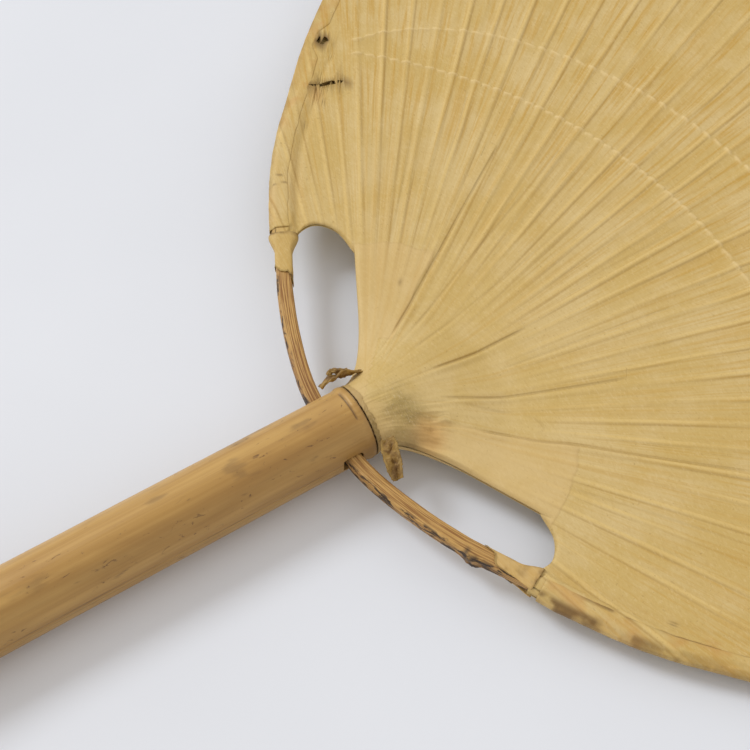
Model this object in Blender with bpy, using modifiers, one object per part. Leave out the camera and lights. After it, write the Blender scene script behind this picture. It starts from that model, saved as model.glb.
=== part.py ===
"""Oil-paper hand fan: a round bamboo handle whose upper end is split into thin
ribs, a bent bamboo bow passed through the handle, two twined threads that
spread the ribs, and two oiled paper sheets with a folded edge strip.

Units are millimetres inside the helpers and metres in Blender.  +Y runs from
the handle to the tip of the blade, +X is the fan's right, +Z is its front.
The design is drawn about the point where the bow crosses the handle's axis,
and then shifted so that the origin is at the bottom centre of its box.
"""
import math

import bpy
import bmesh
import numpy as np
from mathutils import Vector

MM = 0.001

# ---- handle: a bamboo culm ------------------------------------------------
HANDLE_R = 9.0          # outer radius of the culm
RIDGE_R = 9.4           # the swollen node at the head
BORE_R = 6.1            # hollow of the culm
BUTT_Y = -135.0         # sawn end
HEAD_Y = 2.9            # rim of the node, where the splits begin
SEPTUM_Y = 0.4          # inner wall of the node
CULM_GROW = 0.15        # the culm is a little thicker at the butt

# ---- bow: a bent bamboo strip through the handle --------------------------
BOW_W = 4.0             # in the plane of the fan
BOW_T = 3.6             # across it
BOW_TIP_SCALE = 0.42    # taper at the tips
BOW_TIP_X = 106.0
SLOT_GAP = 0.3

# ---- blade outline --------------------------------------------------------
CENTRE_Y = 5.0          # point from which the ribs fan out
ELLIPSE = (146.0, 98.0, 118.0)     # half width, half height, centre height
# lower edge, outer side of the bow, from the handle to the widest quarter
LOWER_EDGE = [(0.0, -6.0), (14.0, -4.8), (31.0, 0.1), (48.0, 7.4), (65.0, 15.5),
              (83.0, 27.0), (99.0, 41.0), (112.0, 53.0)]
# the finger gap on each side, about the fan centre: angle, radius of the paper
GAP_LEFT = [(61.7, 48.7), (66.5, 56.2), (71.8, 59.0), (76.0, 57.2)]
GAP_RIGHT = [(64.2, 47.6), (68.6, 53.7), (73.6, 56.4), (77.5, 55.6)]

# ---- neck: the culm's ring opens into a flat fan --------------------------
FLAT_R = 34.0           # radius at which the ribs lie flat
BEND = 20.0             # stiffness of the turn between the two
RIB_RING_R = 7.2        # ring of rib roots
RIB_ROOT_Y = HEAD_Y + 0.35
RING_SPAN = 0.93        # share of each half ring taken by the slats
RIBS = 64               # 32 in front, 32 behind, split in pairs from 32 slats
RIB_LEFT = 0.555        # share of the ribs left of the middle
RIB_W = 0.64
RIB_T = 0.7
RIB_LAYER = 0.53        # front ribs above, back ribs below the mid plane
RIB_MARGIN = 2.1        # degrees between the last rib and the paper's side
RIB_END = 3.0           # ribs stop short of the edge

# ---- paper ----------------------------------------------------------------
PAPER_T = 0.25
PAPER_Z = 1.75          # inner face above the mid plane
PAPER_BOW_Z = 2.12      # inner face over the bow
PAPER_SEAM_Z = 0.2      # where front and back meet
PAPER_RING_R = 8.4
PAPER_SWELL = 0.75      # fullness of the paper over the turn
PAPER_ROOT_Y = HEAD_Y + 0.9
PAPER_END_W = 6.9       # width of paper wrapped round the bow where it starts
EDGE_IN = 0.85          # paper's edge inside the folded strip
STRIP_W = 5.2           # folded edge strip, on each face
STRIP_T = 0.22
COLLAR_T = 0.22
COLLAR_R = 9.02         # inner radius of the paper band round the neck
COLLAR_Y = (HEAD_Y + 0.6, HEAD_Y + 2.4)
THREAD_R = 0.2
THREAD_Z = 1.32

# ---- frame ----------------------------------------------------------------
TOP_Y = ELLIPSE[2] + ELLIPSE[1]
SHIFT = Vector((0.0, -(TOP_Y + BUTT_Y) / 2.0, RIDGE_R))


def put(x, y, z):
    """Design point in millimetres to a world point in metres."""
    return Vector((x + SHIFT.x, y + SHIFT.y, z + SHIFT.z)) * MM


# ---------------------------------------------------------------------------
# scene helpers
# ---------------------------------------------------------------------------
for old in list(bpy.data.objects):
    bpy.data.objects.remove(old, do_unlink=True)

PARTS = bpy.data.collections.new("oil_paper_fan")
CUTTERS = bpy.data.collections.new("cutters")
bpy.context.scene.collection.children.link(PARTS)
bpy.context.scene.collection.children.link(CUTTERS)


def finish_node(obj, colour, roughness, metallic=0.0):
    mat = bpy.data.materials.new("mat_" + obj.name)
    mat.use_nodes = True
    bsdf = mat.node_tree.nodes["Principled BSDF"]
    bsdf.inputs["Base Color"].default_value = (*colour, 1.0)
    bsdf.inputs["Roughness"].default_value = roughness
    bsdf.inputs["Metallic"].default_value = metallic
    obj.data.materials.clear()
    obj.data.materials.append(mat)


def new_object(name, data, collection):
    obj = bpy.data.objects.new(name, data)
    collection.objects.link(obj)
    return obj


def mesh_object(name, verts, faces, collection=PARTS):
    """Open surface from rows of points; closed later by Solidify."""
    bm = bmesh.new()
    vs = [bm.verts.new(v) for v in verts]
    for f in faces:
        bm.faces.new([vs[i] for i in f])
    bmesh.ops.recalc_face_normals(bm, faces=bm.faces[:])
    me = bpy.data.meshes.new(name)
    bm.to_mesh(me)
    bm.free()
    return new_object(name, me, collection)


def solidify(obj, thickness, offset):
    mod = obj.modifiers.new("thickness", "SOLIDIFY")
    mod.thickness = thickness * MM
    mod.offset = offset
    mod.use_even_offset = False
    mod.use_rim = True
    return mod


def curve_to_mesh(obj):
    """Evaluated curve as a welded mesh object of the same name."""
    deps = bpy.context.evaluated_depsgraph_get()
    me = bpy.data.meshes.new_from_object(obj.evaluated_get(deps))
    bm = bmesh.new()
    bm.from_mesh(me)
    bmesh.ops.remove_doubles(bm, verts=bm.verts[:], dist=1e-6)
    bmesh.ops.recalc_face_normals(bm, faces=bm.faces[:])
    bm.to_mesh(me)
    bm.free()
    name = obj.name
    matrix = obj.matrix_world.copy()
    coll = obj.users_collection[0]
    bpy.data.objects.remove(obj, do_unlink=True)
    out = new_object(name, me, coll)
    out.matrix_world = matrix
    return out


def as_cutter(obj):
    obj.hide_render = True
    obj.display_type = 'WIRE'
    for c in list(obj.users_collection):
        c.objects.unlink(obj)
    CUTTERS.objects.link(obj)


def boolean(obj, tool, operation):
    mod = obj.modifiers.new(operation.lower(), "BOOLEAN")
    mod.operation = operation
    mod.solver = 'EXACT'
    mod.object = tool
    return mod


# ---------------------------------------------------------------------------
# outline and finger gaps
# ---------------------------------------------------------------------------
def spline(points, per=14):
    """Centripetal Catmull-Rom curve through the points."""
    p = [np.array(q, float) for q in points]
    p = [2 * p[0] - p[1]] + p + [2 * p[-1] - p[-2]]
    out = []
    for i in range(1, len(p) - 2):
        a, b, c, d = p[i - 1:i + 3]
        t0 = 0.0
        t1 = t0 + np.linalg.norm(b - a) ** 0.5
        t2 = t1 + np.linalg.norm(c - b) ** 0.5
        t3 = t2 + np.linalg.norm(d - c) ** 0.5
        for t in np.linspace(t1, t2, per, endpoint=False):
            e1 = (t1 - t) / (t1 - t0) * a + (t - t0) / (t1 - t0) * b
            e2 = (t2 - t) / (t2 - t1) * b + (t - t1) / (t2 - t1) * c
            e3 = (t3 - t) / (t3 - t2) * c + (t - t2) / (t3 - t2) * d
            f1 = (t2 - t) / (t2 - t0) * e1 + (t - t0) / (t2 - t0) * e2
            f2 = (t3 - t) / (t3 - t1) * e2 + (t - t1) / (t3 - t1) * e3
            out.append((t2 - t) / (t2 - t1) * f1 + (t - t1) / (t2 - t1) * f2)
    out.append(p[-2])
    return np.array(out)


def half_outline():
    a, b, c = ELLIPSE
    upper = [(a * math.cos(w), c + b * math.sin(w))
             for w in np.radians(np.linspace(-32.0, 90.0, 17))]
    return spline(LOWER_EDGE + upper)


OUTLINE = half_outline()
# normals point away from the blade
_t = np.gradient(OUTLINE, axis=0)
_t /= np.linalg.norm(_t, axis=1)[:, None]
OUT_N = np.stack([_t[:, 1], -_t[:, 0]], axis=1)
_ang = np.degrees(np.arctan2(OUTLINE[:, 0], OUTLINE[:, 1] - CENTRE_Y))
_rad = np.hypot(OUTLINE[:, 0], OUTLINE[:, 1] - CENTRE_Y)
_order = np.argsort(_ang)
_ang, _rad = _ang[_order], _rad[_order]
_ox, _oy = OUTLINE[_order, 0], OUTLINE[_order, 1]
_nx, _ny = OUT_N[_order, 0], OUT_N[_order, 1]


def edge_radius(theta):
    """Distance from the fan centre to the outline at an angle in degrees."""
    return float(np.interp(abs(theta), _ang, _rad))


def outline_at(side, theta):
    """Outline point and outward normal in a direction given in degrees."""
    t = abs(theta)
    x, y = np.interp(t, _ang, _ox), np.interp(t, _ang, _oy)
    nx, ny = np.interp(t, _ang, _nx), np.interp(t, _ang, _ny)
    k = math.hypot(nx, ny)
    return np.array([side * x, y]), np.array([side * nx / k, ny / k])


SIDE_ANGLE = {-1: GAP_LEFT[0][0], 1: GAP_RIGHT[0][0]}
END_ANGLE = 83.4


def gap_line(side, count):
    """Points round the finger gap, from its inner corner to the bow."""
    table = GAP_LEFT if side < 0 else GAP_RIGHT
    pts = [(side * r * math.sin(math.radians(t)), CENTRE_Y + r * math.cos(math.radians(t)))
           for t, r in table]
    o, n = outline_at(side, END_ANGLE)
    pts.append(tuple(o - n * PAPER_END_W))
    line = spline(pts, per=10)
    s = np.concatenate([[0.0], np.cumsum(np.hypot(*np.diff(line, axis=0).T))])
    si = np.linspace(0.0, s[-1], count)
    return np.stack([np.interp(si, s, line[:, 0]), np.interp(si, s, line[:, 1])], axis=1)


def bow_inset(x):
    """How far the middle of the bow lies inside the outline."""
    return float(np.interp(abs(x), [0, 44, 58, 84, 99, 118],
                           [2.2, 2.3, 3.45, 3.5, 4.3, 6.6]))


def bow_centre(side):
    pts = []
    for p, n in zip(OUTLINE, OUT_N):
        q = p - n * bow_inset(p[0])
        pts.append((side * q[0], q[1]))
        if q[0] > BOW_TIP_X:
            break
    return np.array(pts)


BOW_RIGHT = bow_centre(1)


def bow_distance(x, y):
    return float(np.min(np.hypot(BOW_RIGHT[:, 0] - abs(x), BOW_RIGHT[:, 1] - y)))


# ---------------------------------------------------------------------------
# neck surface: from a ring round the culm to the flat fan
# ---------------------------------------------------------------------------
def smooth(t):
    t = min(max(t, 0.0), 1.0)
    return t * t * (3.0 - 2.0 * t)


def fan_point(theta, radius, z):
    a = math.radians(theta)
    return np.array([radius * math.sin(a), CENTRE_Y + radius * math.cos(a), z])


def neck_point(theta, phi, ring_r, root_y, z_flat, t, face, swell=0.0):
    """Point on the turn from the ring (t=0) to the flat fan (t=1)."""
    a, f = math.radians(theta), math.radians(phi)
    p0 = np.array([ring_r * math.sin(f), root_y])
    p1 = np.array([FLAT_R * math.sin(a), CENTRE_Y + FLAT_R * math.cos(a)])
    m0 = np.array([0.0, BEND])
    m1 = np.array([math.sin(a), math.cos(a)]) * BEND
    h = (2 * t ** 3 - 3 * t ** 2 + 1) * p0 + (t ** 3 - 2 * t ** 2 + t) * m0 \
        + (-2 * t ** 3 + 3 * t ** 2) * p1 + (t ** 3 - t ** 2) * m1
    z0 = ring_r * math.cos(f)
    z = z_flat + (z0 - z_flat) * (1.0 - smooth(t)) + swell * math.sin(math.pi * t)
    return np.array([h[0], h[1], z * face])


def lean(theta):
    """Angle round the culm of the slat that serves a direction of the fan."""
    left, right = -SIDE_ANGLE[-1], SIDE_ANGLE[1]
    return -88.5 + 177.0 * (theta - left) / (right - left)


# ---------------------------------------------------------------------------
# handle
# ---------------------------------------------------------------------------
def build_handle():
    grow = HANDLE_R + CULM_GROW
    profile = [(0.0, HEAD_Y), (6.6, HEAD_Y), (RIDGE_R - 0.35, HEAD_Y - 0.05),
               (RIDGE_R, HEAD_Y - 0.5), (RIDGE_R, HEAD_Y - 1.3), (HANDLE_R + 0.05, HEAD_Y - 2.4),
               (HANDLE_R, -8.0), (HANDLE_R, -70.0), (grow, BUTT_Y + 0.6),
               (grow - 0.6, BUTT_Y), (BORE_R + 0.3, BUTT_Y), (BORE_R, BUTT_Y + 0.5),
               (BORE_R, SEPTUM_Y - 1.6), (BORE_R - 1.3, SEPTUM_Y - 0.3), (0.0, SEPTUM_Y)]
    me = bpy.data.meshes.new("handle")
    bm = bmesh.new()
    vs = [bm.verts.new((r * MM, 0.0, y * MM)) for r, y in profile]
    for a, b in zip(vs, vs[1:]):
        bm.edges.new((a, b))
    bm.to_mesh(me)
    bm.free()
    obj = new_object("handle", me, PARTS)
    screw = obj.modifiers.new("turn", "SCREW")
    screw.axis = 'Z'
    screw.steps = 36
    screw.render_steps = 36
    screw.use_merge_vertices = True
    screw.merge_threshold = 1e-6
    screw.use_smooth_shade = True
    # local +Z becomes the fan's +Y
    obj.rotation_euler = (-math.pi / 2, 0.0, 0.0)
    obj.location = put(0.0, 0.0, 0.0)

    inset = bow_inset(0.0)
    y_mid = OUTLINE[0][1] + inset + 0.3
    bpy.ops.mesh.primitive_cube_add(size=1.0, location=put(0.0, y_mid, 0.0))
    slot = bpy.context.active_object
    slot.name = "cut_bow_slot"
    slot.scale = (40 * MM, (BOW_W + 2 * SLOT_GAP + 0.65) * MM, (BOW_T + 2 * SLOT_GAP) * MM)
    bpy.context.view_layer.update()
    as_cutter(slot)
    boolean(obj, slot, 'DIFFERENCE')
    finish_node(obj, (0.42, 0.22, 0.075), 0.42)
    return obj


# ---------------------------------------------------------------------------
# bow
# ---------------------------------------------------------------------------
def build_bow():
    right = BOW_RIGHT
    left = right[1:][::-1] * np.array([-1.0, 1.0])
    pts = np.vstack([left, right])
    seg = np.hypot(*np.diff(pts, axis=0).T)
    s = np.concatenate([[0.0], np.cumsum(seg)])
    n = 45
    si = np.linspace(0.0, s[-1], n)
    px, py = np.interp(si, s, pts[:, 0]), np.interp(si, s, pts[:, 1])

    # rounded section: flat inner face, crowned outer skin
    sec = bpy.data.curves.new("bow_section", 'CURVE')
    sec.dimensions = '2D'
    sp = sec.splines.new('POLY')
    w, t, c = BOW_W / 2, BOW_T / 2, 0.85
    ring = [(-w, -t + c), (-w + c, -t), (w - c, -t), (w, -t + c),
            (w, t - c), (w - c, t), (-w + c, t), (-w, t - c)]
    sp.points.add(len(ring) - 1)
    for q, (a, b) in zip(sp.points, ring):
        q.co = (a * MM, b * MM, 0.0, 1.0)
    sp.use_cyclic_u = True
    guide = new_object("guide_bow_section", sec, CUTTERS)
    guide.hide_render = True
    guide.display_type = 'WIRE'

    cu = bpy.data.curves.new("bow", 'CURVE')
    cu.dimensions = '3D'
    cu.twist_mode = 'Z_UP'
    cu.bevel_mode = 'OBJECT'
    cu.bevel_object = guide
    cu.use_fill_caps = True
    sp = cu.splines.new('POLY')
    sp.points.add(n - 1)
    for i, q in enumerate(sp.points):
        e = abs(si[i] / s[-1] * 2.0 - 1.0)
        k = 1.0 if e < 0.62 else 1.0 + (BOW_TIP_SCALE - 1.0) * smooth((e - 0.62) / 0.38)
        v = put(px[i], py[i], 0.0)
        q.co = (v.x, v.y, v.z, 1.0)
        q.radius = k
    obj = curve_to_mesh(new_object("bow", cu, PARTS))

    # the strip's own node, a knob on its outer side, right of the handle
    i = int(np.argmin(np.abs(right[:, 0] - 44.5)))
    bpy.ops.mesh.primitive_uv_sphere_add(segments=12, ring_count=8, radius=1.0,
                                         location=put(right[i][0] + 0.15, right[i][1] - 0.7, 0.0),
                                         rotation=(0.0, 0.0, math.atan2(0.42, 0.9)))
    knob = bpy.context.active_object
    knob.name = "tool_bow_node"
    knob.scale = (3.1 * MM, 2.25 * MM, 2.05 * MM)
    bpy.context.view_layer.update()
    as_cutter(knob)
    boolean(obj, knob, 'UNION')
    finish_node(obj, (0.40, 0.19, 0.06), 0.5)
    return obj


# ---------------------------------------------------------------------------
# ribs: each slat of the culm's wall is split once more into two ribs
# ---------------------------------------------------------------------------
def rib_angle(k):
    lo, hi = -SIDE_ANGLE[-1] + RIB_MARGIN, SIDE_ANGLE[1] - RIB_MARGIN
    u = k / (RIBS - 1)
    # the ribs stand closer together on the left of the fan than on the right
    return lo * (1 - u / RIB_LEFT) if u < RIB_LEFT else hi * (u - RIB_LEFT) / (1 - RIB_LEFT)


def rib_line(k, face, phi):
    """Middle line of one rib, with its across direction at each point."""
    theta = rib_angle(k)
    pts = [neck_point(theta, phi, RIB_RING_R, RIB_ROOT_Y, RIB_LAYER, t, face)
           for t in (0.0, 0.2, 0.4, 0.6, 0.8, 1.0)]
    o, n = outline_at(1, theta)
    a = math.radians(abs(theta))
    end = edge_radius(theta) - RIB_END / max(0.25, n[0] * math.sin(a) + n[1] * math.cos(a))
    pts.append(fan_point(theta, FLAT_R + 0.5 * (end - FLAT_R), RIB_LAYER * face))
    pts.append(fan_point(theta, end, RIB_LAYER * face))
    pts = np.array(pts)
    tang = np.gradient(pts, axis=0)
    tang[0] = (0.0, 1.0, 0.0)
    tang /= np.linalg.norm(tang, axis=1)[:, None]
    f = math.radians(phi)
    ring_n = np.array([math.sin(f), 0.0, math.cos(f) * face])
    flat_n = np.array([0.0, 0.0, float(face)])
    across = []
    for p_t, t in zip(tang, (0.0, 0.2, 0.4, 0.6, 0.8, 1.0, 1.0, 1.0)):
        b = smooth(t)
        nrm = ring_n * (1 - b) + flat_n * b
        nrm /= np.linalg.norm(nrm)
        w = np.cross(p_t, nrm)
        across.append(w / np.linalg.norm(w) * face)
    return pts, np.array(across)


def build_slat(name, ks, face):
    """One slat of the culm, forked into two ribs."""
    phi_mid = (lean(rib_angle(ks[0])) + lean(rib_angle(ks[1]))) / 2 * RING_SPAN
    spread = math.degrees(0.11 / RIB_RING_R)
    la, wa = rib_line(ks[0], face, phi_mid - spread)
    lb, wb = rib_line(ks[1], face, phi_mid + spread)
    h = RIB_W / 2
    a_out, a_in = la - wa * h, la + wa * h
    b_in, b_out = lb - wb * h, lb + wb * h
    verts, faces = [], []

    def add(p):
        verts.append(put(*p))
        return len(verts) - 1

    rows = len(la)
    split = 2
    prev = None
    for i in range(split):
        mid = (la[i] + lb[i]) / 2
        row = [add(a_out[i]), add(mid), add(b_out[i])]
        if prev:
            faces += [(prev[0], prev[1], row[1], row[0]), (prev[1], prev[2], row[2], row[1])]
        prev = row
    ra = (prev[0], prev[1])
    rb = (prev[1], prev[2])
    for i in range(split, rows):
        na = (add(a_out[i]), add(a_in[i]))
        nb = (add(b_in[i]), add(b_out[i]))
        faces += [(ra[0], ra[1], na[1], na[0]), (rb[0], rb[1], nb[1], nb[0])]
        ra, rb = na, nb
    obj = mesh_object(name, verts, faces)
    solidify(obj, RIB_T, 0.0)
    finish_node(obj, (0.50, 0.30, 0.12), 0.55)
    return obj


# ---------------------------------------------------------------------------
# paper sheets
# ---------------------------------------------------------------------------
def paper_inner(x, y):
    """Height of the inner face above the mid plane, away from the seams."""
    d = bow_distance(x, y)
    k = smooth((6.5 - d) / 3.0)
    return PAPER_Z + (PAPER_BOW_Z - PAPER_Z) * k


def sheet_columns():
    lo, hi = -SIDE_ANGLE[-1], SIDE_ANGLE[1]
    widest = math.degrees(math.atan2(ELLIPSE[0], ELLIPSE[2] - CENTRE_Y))
    left = np.linspace(lo + 0.5, -widest, 3)[:-1]
    right = np.linspace(widest, hi - 0.5, 4)[1:]
    return [lo] + list(left) + list(np.linspace(-widest, widest, 23)) + list(right) + [hi]


def lobe_angle(side, f):
    """Directions of the lobe's columns, from the side rib to the paper's end."""
    return SIDE_ANGLE[side] + (END_ANGLE - SIDE_ANGLE[side]) * (1 - (1 - f) ** 1.3)


NECK_ROWS = (0.0, 0.08, 0.2, 0.4, 0.6, 0.8, 1.0)
RIM_ROWS = (6.4, 0.95, EDGE_IN)


def build_sheet(name, face):
    cols = sheet_columns()
    verts, faces = [], []

    def add(p):
        verts.append(put(*p))
        return len(verts) - 1

    def flat(p, seam):
        z = PAPER_SEAM_Z if seam else paper_inner(p[0], p[1])
        return add((p[0], p[1], z * face))

    def rim(side, theta, reach_in):
        """Rows along the outline's inward normal."""
        o, n = outline_at(side, theta)
        return [flat(o - n * reach_in, False), flat(o - n * (EDGE_IN + 0.4), False), flat(o - n * EDGE_IN, True)]

    grid = []
    for c, theta in enumerate(cols):
        side = c in (0, len(cols) - 1)
        phi = lean(theta)
        zf = PAPER_SEAM_Z if side else PAPER_Z
        if not side:
            phi *= RING_SPAN
        col = [add(neck_point(theta, phi, PAPER_RING_R, PAPER_ROOT_Y, zf, t, face,
                              0.0 if side else PAPER_SWELL)) for t in NECK_ROWS]
        mix = (theta - cols[0]) / (cols[-1] - cols[0])
        corner = GAP_LEFT[0][1] * (1 - mix) + GAP_RIGHT[0][1] * mix
        reach = edge_radius(theta)
        # past the corner of the finger gap the side column is ordinary paper
        col.append(flat(fan_point(theta, corner, 0.0), side))
        col.append(flat(fan_point(theta, corner + 0.9, 0.0), False))
        col.append(flat(fan_point(theta, corner + 0.5 * (reach - corner), 0.0), False))
        col += rim(-1 if theta < 0 else 1, theta, 6.4)
        grid.append(col)
    for a, b in zip(grid, grid[1:]):
        for j in range(len(a) - 1):
            faces.append((a[j], b[j], b[j + 1], a[j + 1]))

    # side lobes between the finger gap and the outline
    first = len(NECK_ROWS)
    lobe = 9
    for side, base in ((-1, grid[0]), (1, grid[-1])):
        prev = base[first:]
        inner = gap_line(side, lobe)
        for i in range(1, lobe):
            f = i / (lobe - 1)
            theta = lobe_angle(side, f)
            o, n = outline_at(side, theta)
            g = inner[i]
            dist = float(np.linalg.norm(o - g))
            g1 = g + (o - g) * 0.9 / dist
            depth = min(6.4, 0.45 * dist)
            g2 = (g1 + (o - n * depth)) / 2
            col = [flat(g, True), flat(g1, False), flat(g2, False)] + rim(side, theta, depth)
            for j in range(len(col) - 1):
                faces.append((prev[j], col[j], col[j + 1], prev[j + 1]))
            prev = col
    obj = mesh_object(name, verts, faces)
    # normals away from the mid plane
    me = obj.data
    up = sum(p.normal.z * p.area for p in me.polygons)
    if up * face < 0:
        me.flip_normals()
    solidify(obj, PAPER_T, 1.0)
    finish_node(obj, (0.55, 0.37, 0.16), 0.6)
    return obj


# ---------------------------------------------------------------------------
# folded strip round the edge, collar, tabs, threads
# ---------------------------------------------------------------------------
def build_edge_strip():
    lobe = [lobe_angle(1, i / 8.0) for i in range(1, 9)]
    lobe_left = [-lobe_angle(-1, i / 8.0) for i in range(8, 0, -1)]
    angles = np.array(lobe_left + sheet_columns() + lobe)
    clear = PAPER_T + 0.24
    verts, faces = [], []
    prev = None
    for theta in angles:
        side = 1 if theta > 0 else -1
        o, n = outline_at(side, theta)
        p_in, p_sh, p_out = o - n * STRIP_W, o - n * 0.95, o - n * STRIP_T
        z_in = paper_inner(p_in[0], p_in[1]) + clear
        z_sh = paper_inner(p_sh[0], p_sh[1]) + clear
        section = [(p_in, z_in), (p_sh, z_sh), (p_out, 0.75), (p_out, -0.75), (p_sh, -z_sh), (p_in, -z_in)]
        row = []
        for p, z in section:
            verts.append(put(p[0], p[1], z))
            row.append(len(verts) - 1)
        if prev:
            for j in range(len(row) - 1):
                faces.append((prev[j], row[j], row[j + 1], prev[j + 1]))
        prev = row
    obj = mesh_object("edge_strip", verts, faces)
    me = obj.data
    out = sum(p.normal.z * p.area * (1 if p.center.z > SHIFT.z * MM else -1) for p in me.polygons)
    if out < 0:
        me.flip_normals()
    solidify(obj, STRIP_T, 1.0)
    finish_node(obj, (0.50, 0.32, 0.12), 0.6)
    return obj


def build_collar():
    """Paper band glued round the neck, over both sheets."""
    me = bpy.data.meshes.new("neck_collar")
    bm = bmesh.new()
    lo, hi = COLLAR_Y
    ring = [(COLLAR_R, lo), (COLLAR_R + COLLAR_T, lo), (COLLAR_R + COLLAR_T + 0.02, hi),
            (COLLAR_R + 0.02, hi)]
    vs = [bm.verts.new((r * MM, 0.0, y * MM)) for r, y in ring[::-1]]
    for a, b in zip(vs, vs[1:] + vs[:1]):
        bm.edges.new((a, b))
    bm.to_mesh(me)
    bm.free()
    obj = new_object("neck_collar", me, PARTS)
    screw = obj.modifiers.new("turn", "SCREW")
    screw.axis = 'Z'
    screw.steps = 32
    screw.render_steps = 32
    screw.use_merge_vertices = True
    screw.merge_threshold = 1e-6
    obj.rotation_euler = (-math.pi / 2, 0.0, 0.0)
    obj.location = put(0.0, 0.0, 0.0)
    finish_node(obj, (0.45, 0.27, 0.09), 0.6)
    return obj


def build_tab(name, side, height, turn):
    """Loose curled end of the neck band."""
    verts, faces = [], []
    prev = None
    x0, y0 = side * 10.9, 3.1
    for i in range(7):
        a = math.radians(-20 + turn * i / 6.0)
        cx = x0 + side * (0.35 * i + 1.6 * math.sin(a) * 0.5)
        cz = height + 1.5 * math.cos(a) - 0.2 * i
        row = []
        for yy in (0.0, 2.1, 4.2):
            verts.append(put(cx + side * 0.12 * yy, y0 + yy + 0.15 * i, cz - 0.1 * yy))
            row.append(len(verts) - 1)
        if prev:
            for j in range(2):
                faces.append((prev[j], row[j], row[j + 1], prev[j + 1]))
        prev = row
    obj = mesh_object(name, verts, faces)
    solidify(obj, 0.3, 0.0)
    finish_node(obj, (0.30, 0.17, 0.05), 0.65)
    return obj


def build_thread(name, radius_of):
    """Thread taken over each front rib and under each back rib."""
    pts = []
    for k in range(RIBS):
        theta = rib_angle(k)
        r = radius_of(theta)
        face = 1 if k % 2 == 0 else -1
        half = math.degrees(0.55 / r)
        for d in (-half, half):
            pts.append(fan_point(theta + d, radius_of(theta + d), THREAD_Z * face))
    cu = bpy.data.curves.new(name, 'CURVE')
    cu.dimensions = '3D'
    cu.bevel_depth = THREAD_R * MM
    cu.bevel_resolution = 0
    cu.use_fill_caps = True
    cu.resolution_u = 1
    sp = cu.splines.new('POLY')
    sp.points.add(len(pts) - 1)
    for q, p in zip(sp.points, pts):
        v = put(*p)
        q.co = (v.x, v.y, v.z, 1.0)
    obj = curve_to_mesh(new_object(name, cu, PARTS))
    finish_node(obj, (0.62, 0.50, 0.30), 0.8)
    return obj


def inner_row(theta):
    return 103.2 + 12.8 * (theta / 58.0) ** 2


def outer_row(theta):
    return 125.8 + 8.0 * (theta / 60.0) ** 2 - 12.0 * (theta / 60.0) ** 6


build_handle()
build_bow()
for s in range(RIBS // 4):
    build_slat("rib_front_%02d" % (s + 1), (4 * s, 4 * s + 2), 1)
    build_slat("rib_back_%02d" % (s + 1), (4 * s + 1, 4 * s + 3), -1)
build_sheet("paper_front", 1)
build_sheet("paper_back", -1)
build_edge_strip()
build_collar()
build_tab("neck_tab_left", -1, 3.6, 120.0)
build_tab("neck_tab_right", 1, 2.4, 100.0)
build_thread("thread_inner", inner_row)
build_thread("thread_outer", outer_row)
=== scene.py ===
"""Looks of the oil-paper hand fan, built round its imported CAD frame.

The ribs and threads of the CAD model stay as they are, under the paper.  The
handle, the bow, both paper sheets, the folded edge strip, the neck band and
its loose ends are rebuilt here as finer meshes in the same places.

Helpers work in millimetres about the point where the bow crosses the handle's
axis: +Y towards the tip of the blade, +X its right, +Z its front.
"""

import math

import bmesh
import bpy
import numpy as np
from mathutils import Matrix, Vector

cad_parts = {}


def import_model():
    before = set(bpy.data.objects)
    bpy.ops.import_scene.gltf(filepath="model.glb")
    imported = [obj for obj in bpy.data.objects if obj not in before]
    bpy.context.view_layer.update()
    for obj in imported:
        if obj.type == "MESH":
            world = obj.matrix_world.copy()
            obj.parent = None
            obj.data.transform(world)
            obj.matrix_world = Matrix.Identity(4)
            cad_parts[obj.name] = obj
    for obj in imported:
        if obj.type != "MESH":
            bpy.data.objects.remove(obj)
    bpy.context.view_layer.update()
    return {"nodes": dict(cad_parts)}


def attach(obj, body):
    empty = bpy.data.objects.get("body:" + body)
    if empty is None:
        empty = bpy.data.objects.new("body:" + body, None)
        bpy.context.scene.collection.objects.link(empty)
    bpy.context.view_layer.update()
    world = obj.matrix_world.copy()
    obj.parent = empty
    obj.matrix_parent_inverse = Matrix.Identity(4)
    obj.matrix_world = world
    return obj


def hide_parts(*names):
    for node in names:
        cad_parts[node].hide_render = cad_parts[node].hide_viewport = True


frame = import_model()

MM = 0.001

# ---- driving sizes, the same as the CAD model's --------------------------------
HANDLE_R, RIDGE_R, BORE_R = 9.0, 9.4, 6.1
BUTT_Y, HEAD_Y, SEPTUM_Y = -135.0, 2.9, 0.4
BOW_W, BOW_T, BOW_TIP_SCALE, BOW_TIP_X = 4.0, 3.6, 0.42, 106.0
CENTRE_Y = 5.0
ELLIPSE = (146.0, 98.0, 118.0)
LOWER_EDGE = [(0.0, -6.0), (14.0, -4.8), (31.0, 0.1), (48.0, 7.4), (65.0, 15.5),
              (83.0, 27.0), (99.0, 41.0), (112.0, 53.0)]
GAP_LEFT = [(61.7, 48.7), (66.5, 56.2), (71.8, 59.0), (76.0, 57.2)]
GAP_RIGHT = [(64.2, 47.6), (68.6, 53.7), (73.6, 56.4), (77.5, 55.6)]
FLAT_R, BEND = 34.0, 20.0
RIBS, RIB_LEFT, RIB_MARGIN = 64, 0.555, 2.1
RING_SPAN = 0.93
PAPER_END_W, END_ANGLE = 6.9, 83.4
SIDE_ANGLE = {-1: GAP_LEFT[0][0], 1: GAP_RIGHT[0][0]}
SHIFT = np.array([0.0, -(ELLIPSE[2] + ELLIPSE[1] + BUTT_Y) / 2.0, RIDGE_R])


def world(p):
    """Design points in millimetres to the row frame in metres."""
    return (np.asarray(p, float) + SHIFT) * MM


# ================================================================================
# numbers: noise, splines, distances
# ================================================================================
_TAB = np.random.RandomState(11).rand(256, 256) * 2 - 1


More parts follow.
